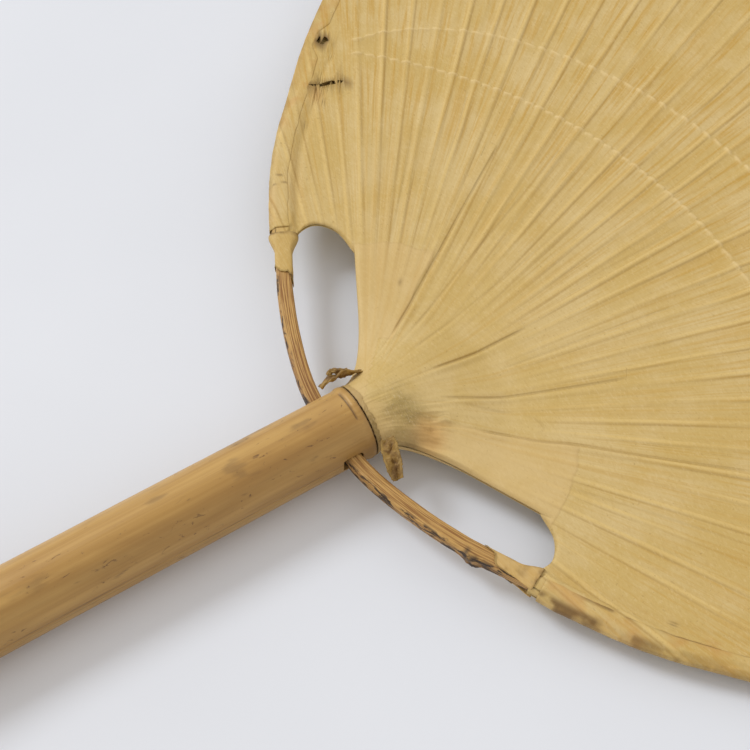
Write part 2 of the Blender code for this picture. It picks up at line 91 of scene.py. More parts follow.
def vnoise(x, y, seed=0):
    """Smooth value noise in the plane, about -1 to 1."""
    x = np.asarray(x, float) + seed * 17.317
    y = np.asarray(y, float) + seed * 9.771
    xi, yi = np.floor(x).astype(int), np.floor(y).astype(int)
    fx, fy = x - xi, y - yi
    fx, fy = fx * fx * (3 - 2 * fx), fy * fy * (3 - 2 * fy)
    a, b = _TAB[xi & 255, yi & 255], _TAB[(xi + 1) & 255, yi & 255]
    c, d = _TAB[xi & 255, (yi + 1) & 255], _TAB[(xi + 1) & 255, (yi + 1) & 255]
    return (a * (1 - fx) + b * fx) * (1 - fy) + (c * (1 - fx) + d * fx) * fy


def fbm(x, y, seed=0, octaves=4, gain=0.5):
    out, amp = 0.0, 1.0
    for i in range(octaves):
        out = out + amp * vnoise(np.asarray(x) * 2 ** i, np.asarray(y) * 2 ** i, seed + 3 * i)
        amp *= gain
    return out


def sstep(t):
    t = np.clip(t, 0.0, 1.0)
    return t * t * (3.0 - 2.0 * t)


def spline(points, per=14):
    """Centripetal Catmull-Rom curve through the points."""
    p = [np.array(q, float) for q in points]
    p = [2 * p[0] - p[1]] + p + [2 * p[-1] - p[-2]]
    out = []
    for i in range(1, len(p) - 2):
        a, b, c, d = p[i - 1:i + 3]
        t0 = 0.0
        t1 = t0 + np.linalg.norm(b - a) ** 0.5
        t2 = t1 + np.linalg.norm(c - b) ** 0.5
        t3 = t2 + np.linalg.norm(d - c) ** 0.5
        for t in np.linspace(t1, t2, per, endpoint=False):
            e1 = (t1 - t) / (t1 - t0) * a + (t - t0) / (t1 - t0) * b
            e2 = (t2 - t) / (t2 - t1) * b + (t - t1) / (t2 - t1) * c
            e3 = (t3 - t) / (t3 - t2) * c + (t - t2) / (t3 - t2) * d
            f1 = (t2 - t) / (t2 - t0) * e1 + (t - t0) / (t2 - t0) * e2
            f2 = (t3 - t) / (t3 - t1) * e2 + (t - t1) / (t3 - t1) * e3
            out.append((t2 - t) / (t2 - t1) * f1 + (t - t1) / (t2 - t1) * f2)
    out.append(p[-2])
    return np.array(out)


def arc_length(line):
    return np.concatenate([[0.0], np.cumsum(np.linalg.norm(np.diff(line, axis=0), axis=1))])


def resample(line, count):
    s = arc_length(line)
    si = np.linspace(0.0, s[-1], count)
    return np.stack([np.interp(si, s, line[:, i]) for i in range(line.shape[1])], axis=1)


def to_polyline(x, y, line):
    """Distance, arc length at the foot, and side (+1 left of travel) for each point."""
    best = np.full(x.shape, 1e9)
    foot = np.zeros(x.shape)
    side = np.ones(x.shape)
    s = arc_length(line)
    for i in range(len(line) - 1):
        a, b = line[i], line[i + 1]
        d = b - a
        n2 = max(float(d @ d), 1e-12)
        t = np.clip(((x - a[0]) * d[0] + (y - a[1]) * d[1]) / n2, 0.0, 1.0)
        px, py = x - (a[0] + t * d[0]), y - (a[1] + t * d[1])
        dist = np.hypot(px, py)
        near = dist < best
        best = np.where(near, dist, best)
        foot = np.where(near, s[i] + t * math.sqrt(n2), foot)
        side = np.where(near, np.sign(d[0] * py - d[1] * px + 1e-12), side)
    return best, foot, side


# ================================================================================
# outline, finger gaps, bow line, neck
# ================================================================================
def half_outline():
    a, b, c = ELLIPSE
    upper = [(a * math.cos(w), c + b * math.sin(w))
             for w in np.radians(np.linspace(-32.0, 90.0, 17))]
    return spline(LOWER_EDGE + upper)


OUTLINE = half_outline()
_t = np.gradient(OUTLINE, axis=0)
_t /= np.linalg.norm(_t, axis=1)[:, None]
OUT_N = np.stack([_t[:, 1], -_t[:, 0]], axis=1)
_ang = np.degrees(np.arctan2(OUTLINE[:, 0], OUTLINE[:, 1] - CENTRE_Y))
_rad = np.hypot(OUTLINE[:, 0], OUTLINE[:, 1] - CENTRE_Y)
_order = np.argsort(_ang)
_ang, _rad = _ang[_order], _rad[_order]
_ox, _oy = OUTLINE[_order, 0], OUTLINE[_order, 1]
_nx, _ny = OUT_N[_order, 0], OUT_N[_order, 1]
RIM_LINE = OUTLINE[OUTLINE[:, 0] > 40][::2]


def edge_radius(theta):
    return np.interp(np.abs(theta), _ang, _rad)


def outline_at(theta):
    """Outline points and outward normals in directions given in degrees."""
    theta = np.asarray(theta, float)
    side, t = np.where(theta < 0, -1.0, 1.0), np.abs(theta)
    x, y = np.interp(t, _ang, _ox), np.interp(t, _ang, _oy)
    nx, ny = np.interp(t, _ang, _nx), np.interp(t, _ang, _ny)
    k = np.hypot(nx, ny)
    return np.stack([side * x, y], -1), np.stack([side * nx / k, ny / k], -1)


def gap_line(side, count):
    table = GAP_LEFT if side < 0 else GAP_RIGHT
    pts = [(side * r * math.sin(math.radians(t)), CENTRE_Y + r * math.cos(math.radians(t)))
           for t, r in table]
    o, n = outline_at(side * END_ANGLE)
    pts.append(tuple(o - n * PAPER_END_W))
    return resample(spline(pts, per=10), count)


def lobe_angle(side, f):
    return side * (SIDE_ANGLE[side] + (END_ANGLE - SIDE_ANGLE[side]) * (1 - (1 - f) ** 1.3))


def bow_inset(x):
    return np.interp(np.abs(x), [0, 44, 58, 84, 99, 118], [2.2, 2.3, 3.45, 3.5, 4.3, 6.6])


def bow_line():
    pts = OUTLINE - OUT_N * bow_inset(OUTLINE[:, 0])[:, None]
    stop = int(np.argmax(pts[:, 0] > BOW_TIP_X))
    return pts[:stop + 1]


BOW_RIGHT = bow_line()
BOW_LEN = arc_length(BOW_RIGHT)[-1]


def bow_scale(s):
    """Taper of the bow, from its middle (s=0) to a tip."""
    e = np.asarray(s) / BOW_LEN
    return 1.0 + (BOW_TIP_SCALE - 1.0) * sstep((e - 0.62) / 0.38)


def neck_plan(theta, phi, ring_r, root_y, t):
    theta, phi, ring_r, root_y, t = np.broadcast_arrays(theta, phi, ring_r, root_y, t)
    a, f = np.radians(theta), np.radians(phi)
    p0 = np.stack([ring_r * np.sin(f), root_y + 0 * f], -1)
    p1 = np.stack([FLAT_R * np.sin(a), CENTRE_Y + FLAT_R * np.cos(a)], -1)
    m0 = np.stack([0 * f, BEND + 0 * f], -1)
    m1 = np.stack([np.sin(a), np.cos(a)], -1) * BEND
    t = t[..., None]
    return (2 * t ** 3 - 3 * t ** 2 + 1) * p0 + (t ** 3 - 2 * t ** 2 + t) * m0 \
        + (-2 * t ** 3 + 3 * t ** 2) * p1 + (t ** 3 - t ** 2) * m1


def lean(theta):
    left, right = -SIDE_ANGLE[-1], SIDE_ANGLE[1]
    return -88.5 + 177.0 * (np.asarray(theta) - left) / (right - left)


RIB_LO, RIB_HI = -SIDE_ANGLE[-1] + RIB_MARGIN, SIDE_ANGLE[1] - RIB_MARGIN


def rib_angle(k):
    u = np.asarray(k, float) / (RIBS - 1)
    return np.where(u < RIB_LEFT, RIB_LO * (1 - u / RIB_LEFT), RIB_HI * (u - RIB_LEFT) / (1 - RIB_LEFT))


def rib_index(theta):
    """Continuous rib number in a direction: the inverse of rib_angle."""
    theta = np.asarray(theta, float)
    u = np.where(theta < 0, RIB_LEFT * (1 - theta / RIB_LO), RIB_LEFT + (1 - RIB_LEFT) * theta / RIB_HI)
    return u * (RIBS - 1)


def rib_pitch(theta):
    """Degrees between neighbouring ribs."""
    return np.where(np.asarray(theta) < 0, -RIB_LO / (RIB_LEFT * (RIBS - 1)),
                    RIB_HI / ((1 - RIB_LEFT) * (RIBS - 1)))


def inner_row(theta):
    return 103.2 + 12.8 * (theta / 58.0) ** 2


def outer_row(theta):
    return 125.8 + 8.0 * (theta / 60.0) ** 2 - 12.0 * (theta / 60.0) ** 6


# ================================================================================
# meshes
# ================================================================================
def make_mesh(name, verts, quads, tris=()):
    """Mesh object from design points; attributes are added afterwards."""
    me = bpy.data.meshes.new(name)
    verts = world(verts)
    quads = np.asarray(quads, int).reshape(-1, 4)
    tris = np.asarray(tris, int).reshape(-1, 3)
    loops = np.concatenate([quads.ravel(), tris.ravel()])
    starts = np.concatenate([np.arange(len(quads)) * 4, len(quads) * 4 + np.arange(len(tris)) * 3])
    me.vertices.add(len(verts))
    me.vertices.foreach_set("co", verts.astype(np.float32).ravel())
    me.loops.add(len(loops))
    me.loops.foreach_set("vertex_index", loops.astype(np.int32))
    me.polygons.add(len(starts))
    me.polygons.foreach_set("loop_start", starts.astype(np.int32))
    me.polygons.foreach_set("use_smooth", np.ones(len(starts), bool))
    me.update(calc_edges=True)
    me.validate()
    obj = bpy.data.objects.new(name, me)
    bpy.context.scene.collection.objects.link(obj)
    return obj


def put_value(obj, name, values):
    a = obj.data.attributes.new(name, "FLOAT", "POINT")
    a.data.foreach_set("value", np.asarray(values, np.float32))


def put_vector(obj, name, values):
    a = obj.data.attributes.new(name, "FLOAT_VECTOR", "POINT")
    a.data.foreach_set("vector", np.asarray(values, np.float32).ravel())


def vertex_normals(verts, quads):
    q = np.asarray(quads)
    a, b, c, d = (verts[q[:, i]] for i in range(4))
    n = np.cross(c - a, d - b)
    out = np.zeros_like(verts)
    for i in range(4):
        np.add.at(out, q[:, i], n)
    return out / np.maximum(np.linalg.norm(out, axis=1), 1e-12)[:, None]


def shell(verts, quads, thickness, inner=None):
    """Closed thin shell: the given surface outside, and a copy inside it."""
    quads = np.asarray(quads, int)
    if inner is None:
        inner = verts - vertex_normals(verts, quads) * np.reshape(thickness, (-1, 1))
    n = len(verts)
    faces = [quads, quads[:, ::-1] + n]
    edges = np.concatenate([quads[:, [i, (i + 1) % 4]] for i in range(4)])
    key = np.sort(edges, axis=1)
    code = key[:, 0] * (n + 1) + key[:, 1]
    _, first, count = np.unique(code, return_index=True, return_counts=True)
    rim = edges[first[count == 1]]
    faces.append(np.stack([rim[:, 1], rim[:, 0], rim[:, 0] + n, rim[:, 1] + n], axis=1))
    return np.concatenate([verts, inner]), np.concatenate(faces)


def grid_quads(rows, cols, close_cols=False, close_rows=False, base=0):
    """Quads of a rows x cols grid of points, numbered row by row."""
    r = np.arange(rows if close_rows else rows - 1)
    c = np.arange(cols if close_cols else cols - 1)
    R, C = np.meshgrid(r, c, indexing="ij")
    R2, C2 = (R + 1) % rows, (C + 1) % cols
    return base + np.stack([R * cols + C, R * cols + C2, R2 * cols + C2, R2 * cols + C], -1).reshape(-1, 4)


# ================================================================================
# material nodes
# ================================================================================
class Tree:
    """Small helper for node trees: inputs are given by name, sockets are linked."""

    def __init__(self, name):
        self.mat = bpy.data.materials.new(name)
        self.mat.use_nodes = True
        self.nt = self.mat.node_tree
        self.bsdf = self.nt.nodes["Principled BSDF"]

    def add(self, kind, inputs=None, out=0, **props):
        node = self.nt.nodes.new("ShaderNode" + kind)
        for k, v in props.items():
            setattr(node, k, v)
        for k, v in (inputs or {}).items():
            self.feed(node.inputs[k], v)
        return node.outputs[out]

    def feed(self, socket, v):
        if isinstance(v, bpy.types.NodeSocket):
            self.nt.links.new(v, socket)
        elif hasattr(socket, "default_value") and not np.isscalar(v) and socket.type == "RGBA" and len(v) == 3:
            socket.default_value = (*v, 1.0)
        else:
            socket.default_value = v

    def math(self, op, a, b=0.0, c=0.0, clamp=False):
        return self.add("Math", {0: a, 1: b, 2: c}, operation=op, use_clamp=clamp)

    def attr(self, name, out="Vector"):
        node = self.nt.nodes.new("ShaderNodeAttribute")
        node.attribute_name = name
        return node.outputs[out]

    def split(self, vec):
        node = self.nt.nodes.new("ShaderNodeSeparateXYZ")
        self.nt.links.new(vec, node.inputs[0])
        return node.outputs

    def join(self, x=0.0, y=0.0, z=0.0):
        return self.add("CombineXYZ", {0: x, 1: y, 2: z})

    def noise(self, vec, scale, detail=3.0, rough=0.5, distort=0.0, out=0):
        return self.add("TexNoise", {"Vector": vec, "Scale": scale, "Detail": detail,
                                     "Roughness": rough, "Distortion": distort}, out)

    def range(self, v, a, b, c=0.0, d=1.0, smooth=True):
        return self.add("MapRange", {"Value": v, "From Min": a, "From Max": b, "To Min": c, "To Max": d},
                        interpolation_type="SMOOTHSTEP" if smooth else "LINEAR")

    def mix(self, fac, a, b, blend="MIX"):
        node = self.nt.nodes.new("ShaderNodeMix")
        node.data_type = "RGBA"
        node.blend_type = blend
        for k, v in ((0, fac), (6, a), (7, b)):
            self.feed(node.inputs[k], v)
        return node.outputs[2]

    def scaled(self, vec, s):
        return self.add("Mapping", {"Vector": vec, "Scale": s})

    def bump(self, height, distance, strength=1.0, normal=None):
        ins = {"Height": height, "Distance": distance, "Strength": strength}
        if normal is not None:
            ins["Normal"] = normal
        return self.add("Bump", ins)

    def finish(self, colour, rough, normal=None, **fixed):
        self.feed(self.bsdf.inputs["Base Color"], colour)
        self.feed(self.bsdf.inputs["Roughness"], rough)
        if normal is not None:
            self.feed(self.bsdf.inputs["Normal"], normal)
        for k, v in fixed.items():
            self.bsdf.inputs[k.replace("_", " ")].default_value = v
        return self.mat


def dress(obj, mat):
    obj.data.materials.clear()
    obj.data.materials.append(mat)


PAPER = (0.580, 0.408, 0.138)
GOLD = (0.535, 0.318, 0.060)
PALE = (0.630, 0.468, 0.205)
DIRT_AND_SHADE = (0.150, 0.075, 0.020)


def paper_material(name):
    t = Tree(name)
    theta, r, u = t.split(t.attr("fan"))
    crease_a, crease_b, patch = t.split(t.attr("marks"))
    power_a, power_b, edge = t.split(t.attr("power"))
    dirt_and_shade, orange, glue = t.split(t.attr("stain_and_shade"))
    obj = t.add("TexCoord", out=3)
    # distance to the nearest rib of this face, in millimetres
    half = t.math("MULTIPLY", u, 0.5)
    frac = t.math("SUBTRACT", t.math("FRACT", t.math("ADD", half, 0.5)), 0.5)
    pitch = t.math("MULTIPLY", t.math("MULTIPLY", r, 0.0349066), t.attr("pitch", "Fac"))
    p = t.math("MULTIPLY", frac, pitch)
    absp = t.math("ABSOLUTE", p)
    # streaks that run along the ribs
    fine = t.noise(t.join(t.math("MULTIPLY", theta, 1.9), t.math("MULTIPLY", r, 0.035)), 1.0, 4.0, 0.65)
    broad = t.noise(t.join(t.math("MULTIPLY", theta, 0.42), t.math("MULTIPLY", r, 0.012), 7.0), 1.0, 2.0, 0.5)
    per_rib = t.noise(t.join(t.math("MULTIPLY", u, 0.73), t.math("MULTIPLY", r, 0.02), 3.0), 1.0, 2.0, 0.6)
    # cloudy thickness of the paper, fibres and specks
    cloud = t.noise(obj, 60.0, 4.0, 0.6)
    pulp = t.noise(t.scaled(obj, (900.0, 2100.0, 900.0)), 1.0, 3.0, 0.6, 0.4)
    grain = t.noise(obj, 2600.0, 2.0, 0.6)
    specks = t.range(t.noise(obj, 1500.0, 1.0, 0.4), 0.70, 0.78)
    outer = t.range(r, 55.0, 135.0)
    off_neck = t.range(r, 32.0, 66.0, 0.12, 1.0)
    col = t.mix(t.range(cloud, 0.36, 0.66), PAPER, PALE)
    gold = t.math("MULTIPLY", t.math("MULTIPLY", t.range(fine, 0.44, 0.70), off_neck), t.range(outer, 0.0, 1.0, 0.45, 0.90))
    col = t.mix(gold, col, GOLD)
    col = t.mix(t.math("MULTIPLY", t.range(broad, 0.5, 0.75), 0.35), col, GOLD)
    # painted highlight along each rib's top, and painted shadow in a thin dark line beside each rib
    ridge = t.math("MULTIPLY", t.range(absp, 0.62, 0.18), t.range(per_rib, 0.38, 0.58))
    col = t.mix(t.math("MULTIPLY", t.math("MULTIPLY", ridge, off_neck), 0.70), col, (0.70, 0.500, 0.185))
    painted_rib_shadow = t.math("MULTIPLY", t.range(t.math("ABSOLUTE", t.math("SUBTRACT", p, 0.95)), 0.42, 0.08), t.range(per_rib, 0.38, 0.58))
    col = t.mix(t.math("MULTIPLY", t.math("MULTIPLY", painted_rib_shadow, off_neck), 0.46), col, (0.36, 0.215, 0.055))
    col = t.mix(t.math("MULTIPLY", t.range(pulp, 0.52, 0.72), 0.30), col, (0.73, 0.56, 0.29))
    col = t.mix(t.math("MULTIPLY", t.range(pulp, 0.48, 0.30), 0.25), col, (0.46, 0.29, 0.09))
    col = t.mix(t.math("MULTIPLY", specks, 0.35), col, (0.33, 0.20, 0.06))
    # painted highlight: light dashes where the paper rides over the rows of thread
    painted_stitch_highlight = t.attr("painted_stitch_highlight", "Fac")
    col = t.mix(t.math("MULTIPLY", painted_stitch_highlight, 0.55), col, (0.80, 0.61, 0.30))
    # patches of a second layer near the neck
    on_patch = t.range(t.math("ADD", patch, t.math("MULTIPLY", t.math("SUBTRACT", cloud, 0.5), 1.5)), -0.25, 0.25)
    col = t.mix(t.math("MULTIPLY", on_patch, 0.35), col, (0.66, 0.46, 0.205))
    seam = t.range(t.math("ABSOLUTE", patch), 0.55, 0.0)
    col = t.mix(t.math("MULTIPLY", seam, 0.12), col, (0.34, 0.20, 0.06))
    # creases: painted shade darkens the fold
    line_a = t.math("MULTIPLY", t.range(t.math("ABSOLUTE", crease_a), 0.55, 0.05), power_a)
    line_b = t.math("MULTIPLY", t.range(t.math("ABSOLUTE", crease_b), 0.55, 0.05), power_b)
    fold = t.math("MAXIMUM", line_a, line_b)
    col = t.mix(t.math("MULTIPLY", fold, 0.34), col, (0.25, 0.145, 0.04))
    # glue, stains, and dark marks that are partly real dirt and partly painted shade
    hair = t.noise(t.scaled(obj, (700.0, 3200.0, 1600.0)), 1.0, 4.0, 0.7, 1.2)
    col = t.mix(t.math("MULTIPLY", glue, t.range(hair, 0.35, 0.6, 0.75, 0.2)), col, (0.43, 0.305, 0.080))
    col = t.mix(t.math("MULTIPLY", glue, t.range(hair, 0.56, 0.68, 0.0, 0.8)), col, (0.80, 0.70, 0.48))
    col = t.mix(orange, col, (0.52, 0.25, 0.06))
    # dark channel: real dirt together with painted shade
    col = t.mix(dirt_and_shade, col, DIRT_AND_SHADE)
    rough = t.range(t.math("ADD", cloud, t.math("MULTIPLY", grain, 0.3)), 0.4, 0.9, 0.52, 0.70)
    h = t.math("ADD", t.math("MULTIPLY", t.math("MULTIPLY", fine, off_neck), 0.9), t.math("MULTIPLY", pulp, 0.55))
    h = t.math("ADD", h, t.math("MULTIPLY", grain, 0.12))
    h = t.math("SUBTRACT", h, t.math("MULTIPLY", fold, 1.6))
    h = t.math("ADD", h, t.math("MULTIPLY", on_patch, 0.5))
    h = t.math("ADD", h, t.math("MULTIPLY", t.math("MULTIPLY", glue, hair), 6.0))
    n = t.bump(h, 0.00011, 1.0)
    return t.finish(col, rough, n, Specular_IOR_Level=0.38)


def bamboo_material():
    t = Tree("bamboo_culm")
    obj = t.add("TexCoord", out=3)
    stain_and_shade, groove, cut = t.split(t.attr("marks"))
    long_a = t.noise(t.scaled(obj, (420.0, 7.0, 420.0)), 1.0, 4.0, 0.6)
    long_b = t.noise(t.scaled(obj, (1500.0, 26.0, 1500.0)), 1.0, 3.0, 0.65)
    cloud = t.noise(t.scaled(obj, (95.0, 26.0, 95.0)), 1.0, 4.0, 0.55, 0.6)
    flecks = t.noise(t.scaled(obj, (760.0, 300.0, 760.0)), 1.0, 3.0, 0.65, 0.8)
    fine = t.noise(obj, 2400.0, 2.0, 0.5)
    col = t.mix(t.range(long_a, 0.32, 0.68), (0.410, 0.222, 0.050), (0.535, 0.318, 0.088))
    col = t.mix(t.math("MULTIPLY", t.range(cloud, 0.45, 0.72), 0.42), col, (0.32, 0.160, 0.036))
    col = t.mix(t.math("MULTIPLY", t.range(cloud, 0.44, 0.28), 0.5), col, (0.57, 0.355, 0.120))
    col = t.mix(t.math("MULTIPLY", t.range(long_b, 0.55, 0.72), 0.30), col, (0.33, 0.17, 0.045))
    dark = t.math("MULTIPLY", t.range(flecks, 0.62, 0.70), t.range(cloud, 0.42, 0.58))
    col = t.mix(t.math("MULTIPLY", dark, 0.85), col, (0.13, 0.058, 0.016))
    col = t.mix(stain_and_shade, col, (0.11, 0.055, 0.018))
    col = t.mix(t.math("MULTIPLY", groove, 0.8), col, (0.10, 0.055, 0.02))
    pores = t.noise(t.scaled(obj, (1900.0, 1900.0, 1900.0)), 1.0, 2.0, 0.6)
    col = t.mix(cut, col, t.mix(t.range(pores, 0.45, 0.62), (0.62, 0.43, 0.20), (0.30, 0.17, 0.06)))
    rough = t.range(t.math("ADD", cloud, t.math("MULTIPLY", fine, 0.35)), 0.35, 0.95, 0.36, 0.58)
    h = t.math("ADD", t.math("MULTIPLY", long_b, 0.6), t.math("MULTIPLY", fine, 0.18))
    h = t.math("SUBTRACT", h, t.math("MULTIPLY", dark, 0.5))
    n = t.bump(h, 0.00009, 1.0)
    return t.finish(col, rough, n, Specular_IOR_Level=0.45, Coat_Weight=0.22, Coat_Roughness=0.34)


def bow_material():
    t = Tree("bamboo_bow")
    across, height, along = t.split(t.attr("strip"))
    mark, bark, _ = t.split(t.attr("marks"))
    obj = t.add("TexCoord", out=3)
    v = t.join(t.math("MULTIPLY", across, 1.0), t.math("MULTIPLY", height, 1.0), t.math("MULTIPLY", along, 0.018))
    fibre = t.noise(v, 3.4, 3.0, 0.6)
    fibre2 = t.noise(v, 8.5, 2.0, 0.6)
    cloud = t.noise(t.join(t.math("MULTIPLY", across, 0.25), t.math("MULTIPLY", height, 0.25),
                           t.math("MULTIPLY", along, 0.09)), 1.0, 3.0, 0.6)
    col = t.mix(t.range(fibre, 0.38, 0.58), (0.26, 0.112, 0.026), (0.55, 0.325, 0.098))
    col = t.mix(t.math("MULTIPLY", t.range(fibre2, 0.56, 0.70), 0.6), col, (0.66, 0.43, 0.19))
    col = t.mix(t.math("MULTIPLY", t.range(fibre2, 0.44, 0.30), 0.7), col, (0.15, 0.055, 0.016))
    col = t.mix(t.math("MULTIPLY", t.range(cloud, 0.5, 0.75), 0.35), col, (0.24, 0.10, 0.03))
    blotch = t.noise(t.join(t.math("MULTIPLY", across, 0.9), t.math("MULTIPLY", height, 0.9),
                            t.math("MULTIPLY", along, 0.30)), 1.0, 3.0, 0.6, 0.5)
    col = t.mix(t.math("MULTIPLY", bark, t.range(blotch, 0.47, 0.58)), col, (0.050, 0.028, 0.014))
    col = t.mix(mark, col, (0.035, 0.020, 0.012))
    rough = t.range(fibre, 0.3, 0.7, 0.62, 0.44)
    h = t.math("ADD", t.math("MULTIPLY", fibre, 0.8), t.math("MULTIPLY", fibre2, 0.6))
    h = t.math("ADD", h, t.math("MULTIPLY", t.noise(obj, 2500.0, 2.0, 0.5), 0.15))
    n = t.bump(h, 0.00013, 1.0)
    return t.finish(col, rough, n, Specular_IOR_Level=0.4)


def tab_material():
    t = Tree("glued_paper_end")
    obj = t.add("TexCoord", out=3)
    big = t.noise(obj, 420.0, 4.0, 0.6, 0.5)
    fibre = t.noise(t.scaled(obj, (2400.0, 700.0, 1500.0)), 1.0, 4.0, 0.65, 0.5)
    light, _, _ = t.split(t.attr("marks"))
    col = t.mix(t.range(big, 0.35, 0.62), (0.150, 0.072, 0.013), (0.34, 0.198, 0.042))
    col = t.mix(t.math("MULTIPLY", t.range(fibre, 0.52, 0.66), 0.6), col, (0.44, 0.29, 0.11))
    col = t.mix(light, col, (0.46, 0.305, 0.085))
    rough = t.range(fibre, 0.3, 0.7, 0.45, 0.7)
    n = t.bump(t.math("ADD", fibre, big), 0.00022, 1.0)
    return t.finish(col, rough, n, Specular_IOR_Level=0.45)


def rib_material():
    t = Tree("split_bamboo")
    obj = t.add("TexCoord", out=3)
    grain = t.noise(t.scaled(obj, (900.0, 900.0, 900.0)), 1.0, 3.0, 0.6)
    tone = t.noise(obj, 40.0, 3.0, 0.5)
    col = t.mix(t.range(tone, 0.35, 0.65), (0.42, 0.25, 0.10), (0.58, 0.38, 0.17))
    col = t.mix(t.math("MULTIPLY", t.range(grain, 0.5, 0.7), 0.4), col, (0.30, 0.17, 0.06))
    n = t.bump(grain, 0.0001, 0.8)
    return t.finish(col, t.range(grain, 0.3, 0.7, 0.5, 0.65), n)


def thread_material():
    t = Tree("cotton_thread")
    obj = t.add("TexCoord", out=3)
    ply = t.add("TexWave", {"Vector": obj, "Scale": 520.0, "Distortion": 1.2, "Detail": 2.0},
                wave_type="BANDS", bands_direction="DIAGONAL")
    fuzz = t.noise(obj, 3200.0, 2.0, 0.6)
    col = t.mix(ply, (0.50, 0.37, 0.18), (0.68, 0.55, 0.34))
    n = t.bump(t.math("ADD", ply, fuzz), 0.00006, 1.0)
    return t.finish(col, t.range(fuzz, 0.3, 0.7, 0.75, 0.9), n)


# ================================================================================
# marks that the paper carries
# ================================================================================
# creases of the front sheet: (direction, radius) points, depth, channel
CREASES = [
    ([(-35.3, 92), (-35.7, 80), (-36.3, 66), (-37.0, 52), (-38.2, 40), (-39.6, 30), (-41.5, 22)], 0.9, 0),
    ([(-43.2, 109), (-42.9, 98), (-42.8, 88), (-43.0, 80)], 0.35, 1),
    ([(-15.6, 82), (-16.2, 66), (-17.2, 50), (-19.0, 38), (-21.0, 28), (-23.5, 20)], 0.28, 0),
    ([(-2.6, 103), (-2.9, 88), (-3.4, 74), (-3.6, 62)], 0.25, 1),
    ([(-0.2, 48), (-0.6, 40), (-0.9, 32), (-1.4, 24), (-2.2, 18)], 1.0, 0),
    ([(22.4, 66), (22.8, 54), (23.2, 42), (23.6, 30), (23.4, 17)], 0.8, 0),
    ([(41.2, 92), (41.4, 74), (41.3, 58), (41.0, 50), (41.8, 42), (41.3, 33), (42.4, 26)], 0.75, 0),
    ([(31.5, 36), (34.0, 41), (37.0, 42.5), (40.6, 40)], 0.35, 1),
    ([(27.0, 22), (29.5, 28), (31.6, 36)], 0.4, 1),
    ([(-50.5, 96), (-50.2, 80), (-50.8, 62), (-51.6, 48)], 0.3, 0),
    ([(-26.0, 100), (-26.3, 86), (-27.0, 70), (-28.2, 54), (-30.0, 38), (-32.5, 25)], 0.4, 1),
    ([(9.5, 84), (9.7, 66), (10.2, 48), (10.8, 34)], 0.35, 1),
    ([(53.0, 98), (53.2, 80), (53.6, 62), (54.2, 50)], 0.35, 1),
]


def polar_line(points):
    p = np.array(points, float)
    a = np.radians(p[:, 0])
    line = np.stack([p[:, 1] * np.sin(a), CENTRE_Y + p[:, 1] * np.cos(a)], 1)
    return spline(line, per=6)


def crease_fields(x, y, lines):
    """Signed distance and strength for each of two channels."""
    out = [(np.full(x.shape, 6.0), np.zeros(x.shape)) for _ in range(2)]
    for pts, depth, ch in lines:
        line = polar_line(pts)
        d, s, side = to_polyline(x, y, line)
        total = arc_length(line)[-1]
        end = sstep(s / 5.0) * sstep((total - s) / 5.0)
        w = depth * end * sstep((3.4 - d) / 1.2)
        sd, pw = out[ch]
        more = w > pw
        out[ch] = (np.where(more, d * side, sd), np.where(more, w, pw))
    return out


def patch_field(theta, r, front):
    """Signed distance (mm, positive inside) to the second layer of paper near the neck."""
    if not front:
        right = np.minimum((theta - 38.0) * 0.75, 49.0 - r)
        left = np.minimum((-41.0 - theta) * 0.75, 52.0 - r)
        return np.maximum(right, left)
    wob = fbm(theta / 5.0, r / 6.0, 5, 3)
    right = np.minimum((theta - 42.0 - 0.8 * wob) * 0.75, 51.0 + 0.8 * wob - r)
    left = np.minimum((-39.0 + 0.8 * wob - theta) * 0.75, 51.0 + 0.7 * wob - r)
    left = np.where(theta > -50, np.minimum(left, (r - 21.0)), left)
    return np.maximum(right, left)


# ================================================================================
# paper sheets
# ================================================================================
PAPER_T = 0.22


